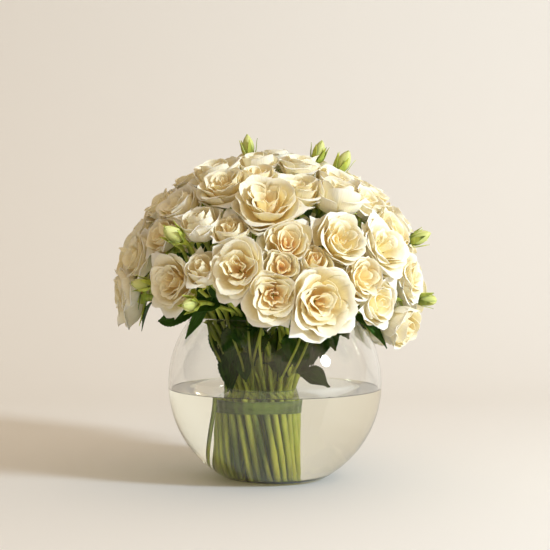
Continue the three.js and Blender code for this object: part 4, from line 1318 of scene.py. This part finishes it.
# start, bend, tip and half width of the dark leaves among the stems, in the bowl and above its rim
BOWL_LEAVES = [
    ((-34, -40, 128), (-45, -46, 116), (-39, -46, 84), 11),
    ((-24, -46, 150), (-40, -54, 140), (-40, -52, 110), 12),
    ((-8, -48, 150), (-20, -60, 140), (-18, -58, 112), 13),
    ((8, -46, 150), (24, -58, 138), (20, -54, 103), 15),
    ((4, -42, 130), (12, -50, 122), (4, -48, 98), 10),
    ((26, -40, 146), (36, -52, 136), (34, -52, 110), 12),
    ((22, -32, 104), (34, -42, 106), (48, -40, 88), 9),
    ((-20, -44, 124), (-30, -52, 118), (-26, -50, 94), 10),
    ((-32, -20, 150), (-44, -24, 132), (-40, -24, 94), 14),
    ((-18, -18, 152), (-22, -24, 128), (-22, -24, 90), 15),
    ((4, -16, 152), (6, -24, 128), (2, -24, 92), 15),
    ((22, -16, 152), (28, -24, 130), (24, -24, 96), 14),
    ((-42, -10, 152), (-54, -12, 138), (-50, -12, 108), 12),
    ((36, -12, 152), (46, -16, 138), (42, -14, 112), 12),
    ((-38, 6, 150), (-48, 8, 128), (-43, 6, 92), 14),
    ((-18, 4, 152), (-20, 2, 126), (-22, 2, 92), 15),
    ((8, 4, 152), (12, 2, 126), (8, 2, 92), 15),
    ((28, 4, 150), (36, 2, 128), (34, 0, 104), 12),
    ((-30, 40, 146), (-36, 50, 126), (-30, 46, 94), 13),
    ((0, 46, 148), (2, 56, 126), (-4, 50, 94), 13),
    ((26, 36, 146), (36, 46, 126), (30, 44, 96), 12),
    ((-44, -34, 158), (-62, -50, 182), (-80, -54, 164), 12),
    ((-30, -40, 165), (-44, -56, 184), (-57, -62, 168), 10),
    ((-24, -20, 172), (-42, -28, 168), (-54, -30, 140), 14),
    ((34, -30, 164), (54, -42, 156), (66, -44, 132), 13),
    ((26, -36, 162), (46, -50, 150), (54, -50, 122), 13),
]
# the one broad leaf at the bowl's rim that turns to the light
LIT_LEAF = ((-50, -56, 148), (-30, -68, 156), (-8, -66, 142), 13)
LIT_LEAF_FACING = (0.55, -0.65, 0.5)
# lines of the thin stalks that rise in front of the dark leaves inside the bowl
FRONT_STALKS = [
    [(-12, -26, 78), (-15, -44, 96), (-21, -63, 112), (-23, -68, 132), (-24, -72, 152)],
    [(-8, -26, 78), (-10, -46, 94), (-12, -64, 112), (-14, -67, 128), (-11, -73, 152)],
    [(-20, -25, 79), (-20, -46, 96), (-20, -64, 112), (-15, -68, 132), (-10, -72, 151)],
    [(8, -18, 80), (13, -40, 96), (20, -60, 110), (28, -66, 128), (34, -68, 148)],
    [(2, -22, 79), (5, -42, 95), (12, -62, 111), (21, -67, 130), (26, -70, 150)],
    [(-34, -16, 82), (-42, -34, 98), (-50, -48, 114), (-57, -50, 130), (-60, -50, 150)],
    [(-22, -24, 80), (-27, -44, 98), (-30, -62, 116), (-37, -64, 134), (-42, -64, 151)],
]
# the same numbers for the leaves that lie under the blooms at the top of the dome
TOP_LEAVES = [
    ((-2, 8, 246), (16, 20, 270), (42, 30, 258), 15),
    ((14, 0, 244), (44, 12, 266), (72, 16, 248), 15),
    ((-8, 10, 244), (-26, 22, 268), (-48, 26, 252), 15),
    ((6, 20, 240), (22, 46, 262), (34, 70, 244), 15),
    ((-12, -8, 244), (-34, -26, 262), (-58, -36, 244), 15),
]


def thin_stalk(corners):
    line = evenly_spaced(rounded_line(np.array(corners, float)), STALK_SPACING)[0]
    return line, np.full(len(line), LEAF_STALK_RADIUS)


def leaf_stalk(start):
    """A thin stalk that leaves the bunch just over the tape and carries a leaf at its top."""
    out = unit((start - bunch_middle(TIE_Z)) * [1, 1, 0])
    foot = bunch_middle(LEAF_STALK_FOOT_Z) + out * OUTER_RING_RADIUS
    return thin_stalk([foot, foot + UP * LEAF_STALK_UPRIGHT + out * LEAF_STALK_SPREAD, start])


def bend_leaf(start, bend, tip, half, rng, facing=None):
    t = leaf_along
    start, bend, tip = (np.asarray(place, float) for place in (start, bend, tip))
    rib = np.outer((1 - t) ** 2, start) + np.outer(2 * t * (1 - t), bend) + np.outer(t**2, tip)
    along = np.outer(2 * (1 - t), bend - start) + np.outer(2 * t, tip - bend)
    along /= np.maximum(np.linalg.norm(along, axis=1), 1e-6)[:, None]
    face = (rib - DOME_CENTRE) / DOME_REACH / DOME_REACH
    face /= np.linalg.norm(face, axis=1)[:, None]
    face = face + UP * LEAF_FACE_RISE if facing is None else np.tile(facing, (len(t), 1))
    side = np.cross(along, face)
    side /= np.linalg.norm(side, axis=1)[:, None]
    normal = np.cross(side, along)
    reach = np.where(
        np.abs(leaf_across) * half > LEAF_STALK_HALF * np.abs(leaf_column),
        leaf_across * half,
        leaf_column * LEAF_STALK_HALF,
    )
    turns = t * rng.uniform(*LEAF_WAVES_RANGE) + rng.uniform(0, 6.28)
    wave = LEAF_WAVE * half * np.sin(turns + 1.5 * np.sign(leaf_column))
    lift = LEAF_FOLD * np.abs(reach) + wave * np.abs(leaf_across) ** 1.5
    return rib + side * reach[:, None] + normal * lift[:, None]


def leaf_piece(name, leaves, replaced):
    points = np.concatenate(leaves)
    quads = np.concatenate([leaf_quads + k * len(leaf_across) for k in range(len(leaves))])
    one_map = np.stack([leaf_column, leaf_along], axis=1)
    maps = np.concatenate([one_map + [0.0, 1.0 * k] for k in range(len(leaves))])
    piece = mesh_piece(name, points, quads, {"leaf": maps})
    thicken(piece, LEAF_THICKNESS)
    finish_piece(piece, name, leaf_skin, replaced)
    return piece


def beside_line(line, share, away, toward):
    line = np.array(line)
    place = at_lengths(line, share * lengths_along(line)[-1])
    return place + unit(np.asarray(toward, float) - place) * away


for name, head_name, share, away, bend, tip, half in LEAVES:
    start = beside_line(by_name[head_name].stalk, share, away, bend)
    leaf_piece(f"{name}_blade", [bend_leaf(start, bend, tip, half, rng)], [name])

hanging = [
    bend_leaf(stem_point(outer_stems[number], z), bend, tip, half, rng)
    for number, z, bend, tip, half in STEM_LEAVES
]
for head in on_bunch:
    if head.centre[1] > 0 and head.centre[2] < COLLAR_BELOW_Z:
        start = head.stalk[1]
        out = unit(start * [1, 1, 0])
        bend, tip = (start + out * far - UP * down for far, down in (COLLAR_BEND, COLLAR_TIP))
        hanging.append(bend_leaf(start, bend, tip, COLLAR_HALF, rng))
for head in carried:
    start = beside_line(head.stalk, 0.3, 1.0, head.centre)
    sideways = unit(head.east * rng.uniform(-1, 1) + head.north * rng.uniform(-1, 1))
    bend, tip = (start + head.outward * rise + sideways * far for rise, far in (UNDER_BEND, UNDER_TIP))
    hanging.append(bend_leaf(start, bend, tip, UNDER_HALF, rng))
for start, bend, tip, half in BOWL_LEAVES:
    facing = np.array(TOWARD_VIEWER) + rng.normal(0, FACING_SPREAD, 3)
    hanging.append(bend_leaf(start, bend, tip, half, rng, facing))
hanging += [bend_leaf(start, bend, tip, half, rng, UP) for start, bend, tip, half in TOP_LEAVES]
hanging.append(bend_leaf(*LIT_LEAF, rng, np.array(LIT_LEAF_FACING)))
leaf_piece("bunch_leaves", hanging, ["stem_bunch"])
stalked = [np.array(start, float) for start, *_ in BOWL_LEAVES + TOP_LEAVES]
thin_stalks = [leaf_stalk(start) for start in stalked] + [thin_stalk(corners) for corners in FRONT_STALKS]
leaf_stalks = tubes_piece("leaf_stalks", thin_stalks, 2)
finish_piece(leaf_stalks, "leaf_stalk_tubes", stem_skin, ["stem_bunch"])
print("leaves:", len(LEAVES) + len(hanging))

# %% [markdown]
# The tape
#
# Green tape is wound twice round the bunch just under the water's surface. It bends over every stem, so its
# outline is lobed, and one turn lies a little over the other.

# %% Tie band
TIE_INNER_RADIUS = 30.1
TIE_HALF_HEIGHT = 4.8
TIE_THICKNESS = 0.7
TIE_SIDES = 192
TIE_ROWS = 10
ROW_HEIGHT = 2 * TIE_HALF_HEIGHT / TIE_ROWS
TIE_SLACK = 0.35
LOBE_DEPTH = 0.28
LAP_DEPTH = 0.35

bpy.ops.mesh.primitive_circle_add(
    vertices=TIE_SIDES,
    radius=TIE_INNER_RADIUS * MM,
    fill_type="NOTHING",
    location=(0, 0, -TIE_HALF_HEIGHT * MM),
)
tie = bpy.context.object
make_only_selected(tie)
bpy.ops.object.transform_apply(location=True)
bpy.ops.object.mode_set(mode="EDIT")
bpy.ops.mesh.select_all(action="SELECT")
for row in range(TIE_ROWS):
    bpy.ops.mesh.extrude_region_move(TRANSFORM_OT_translate={"value": (0, 0, ROW_HEIGHT * MM)})
bpy.ops.mesh.select_all(action="SELECT")
bpy.ops.mesh.normals_make_consistent(inside=False)
bpy.ops.object.mode_set(mode="OBJECT")
flat = np.array([v.co for v in tie.data.vertices]) / MM
angle = np.arctan2(flat[:, 1], flat[:, 0])
up = flat[:, 2] / TIE_HALF_HEIGHT
lobes = LOBE_DEPTH * np.cos(OUTER_STEMS * (angle - math.pi / OUTER_STEMS))
overlap = LAP_DEPTH * np.tanh((up - 0.15 * np.sin(angle + 0.6)) * 7)
creases = 0.10 * np.sin(5 * up + 9 * np.sin(3 * angle)) + 0.06 * np.sin(11 * up + 31 * angle)
out = TIE_INNER_RADIUS + TIE_SLACK + lobes + overlap + creases
height = TIE_Z + TIE_HALF_HEIGHT * up * 0.97 + 0.15 * np.sin(4 * angle)
middle = bunch_middle(TIE_Z)
shaped = np.stack([middle[0] + out * np.cos(angle), middle[1] + out * np.sin(angle), height], axis=1) * MM
tie.data.vertices.foreach_set("co", shaped.ravel())
tie.data.update()
thicken(tie, TIE_THICKNESS)
finish_piece(tie, "tie_tape", tape_skin, ["tie_band"])
print("tie:", len(tie.data.polygons), "faces")

# %% [markdown]
# The backdrop and the light
#
# The bouquet was photographed on a warm off-white sheet that runs up behind it without an edge. One soft
# lamp stands low at the right and a little in front, as the round highlight in the glass shows, so the
# shadow falls far to the left. The room fills in the rest. It is brighter above and to the right, and dim
# to the left, so the left blooms turn beige and not black.

# %% Backdrop, lamp and room light
SHEET_HALF = 2.6
SHEET_FRONT_Y = -1.9
SHEET_BACK_Y = 1.5
SHEET_HEIGHT = 2.6
SHEET_BEND = 0.9
SHEET_Z = -0.0005
BEND_SEGMENTS = 24
SHEET_COLOUR = (0.860, 0.846, 0.800, 1)
KEY_TOWARD = (0.79, -0.49, 0.36)
KEY_DISTANCE = 2.2
KEY_SIZE = 0.4
KEY_WATTS = 49
KEY_COLOUR = (0.75, 0.87, 1.0)
ROOM_COLOUR = (1.0, 0.80, 0.60, 1)
ROOM_BRIGHTEST = (0.66, -0.32, 0.68)
ROOM_DARK_FROM = -0.35
ROOM_LEAST = 0.06
ROOM_MOST = 0.97
AIM = (0.0, 0.0, 0.15)

bpy.ops.mesh.primitive_plane_add(size=2)
sheet = bpy.context.object
sheet.name = "backdrop"
for vertex in sheet.data.vertices:
    vertex.co.x *= SHEET_HALF
    vertex.co.y = SHEET_BACK_Y if vertex.co.y > 0 else SHEET_FRONT_Y
    vertex.co.z = SHEET_Z
select_points(sheet, lambda co: co.y > 0)
bpy.ops.object.mode_set(mode="EDIT")
bpy.ops.mesh.extrude_region_move(TRANSFORM_OT_translate={"value": (0, 0, SHEET_HEIGHT)})
bpy.ops.object.mode_set(mode="OBJECT")
assert len(sheet.data.polygons) == 2, "only the back edge is drawn up"
bend = sheet.modifiers.new("bend", "BEVEL")
bend.width = SHEET_BEND
bend.segments = BEND_SEGMENTS
bend.limit_method = "ANGLE"
sheet_skin, _ = new_material("paper_sheet", Roughness=0.85, Specular_IOR_Level=0.2, Base_Color=SHEET_COLOUR)
sheet.data.materials.append(sheet_skin)
make_only_selected(sheet)
bpy.ops.object.modifier_apply(modifier=bend.name)
bpy.ops.object.shade_smooth()

toward = unit(np.array(KEY_TOWARD))
key_turns = (math.acos(toward[2]), 0, math.atan2(toward[1], toward[0]) + math.pi / 2)
bpy.ops.object.light_add(type="AREA", location=np.array(AIM) + toward * KEY_DISTANCE, rotation=key_turns)
key = bpy.context.object
key.data.shape = "DISK"
key.data.size = KEY_SIZE
key.data.energy = KEY_WATTS
key.data.color = KEY_COLOUR
key.data.cycles.is_caustics_light = True
for clear in (bowl, water):
    clear.cycles.is_caustics_caster = True
for lit in (greens, loose_piece, tie, sheet):
    lit.cycles.is_caustics_receiver = True

world = bpy.data.worlds.new("room")
world.use_nodes = True
room = world.node_tree.nodes["Background"]
room.inputs["Color"].default_value = ROOM_COLOUR
direction = add_node(world, "ShaderNodeTexCoord").outputs["Generated"]
lean = add_node(world, "ShaderNodeVectorMath", {0: direction, 1: ROOM_BRIGHTEST}, operation="DOT_PRODUCT")
strength = add_range(
    world, lean.outputs["Value"], From_Min=ROOM_DARK_FROM, To_Min=ROOM_LEAST, To_Max=ROOM_MOST
)
join_sockets(world, strength, room.inputs["Strength"])
bpy.context.scene.world = world
bpy.context.scene.view_settings.view_transform = "Standard"
cycles = bpy.context.scene.cycles
cycles.diffuse_bounces = 16
cycles.transmission_bounces = 20
cycles.max_bounces = 32
print("lamp at", [round(x, 2) for x in key.location])
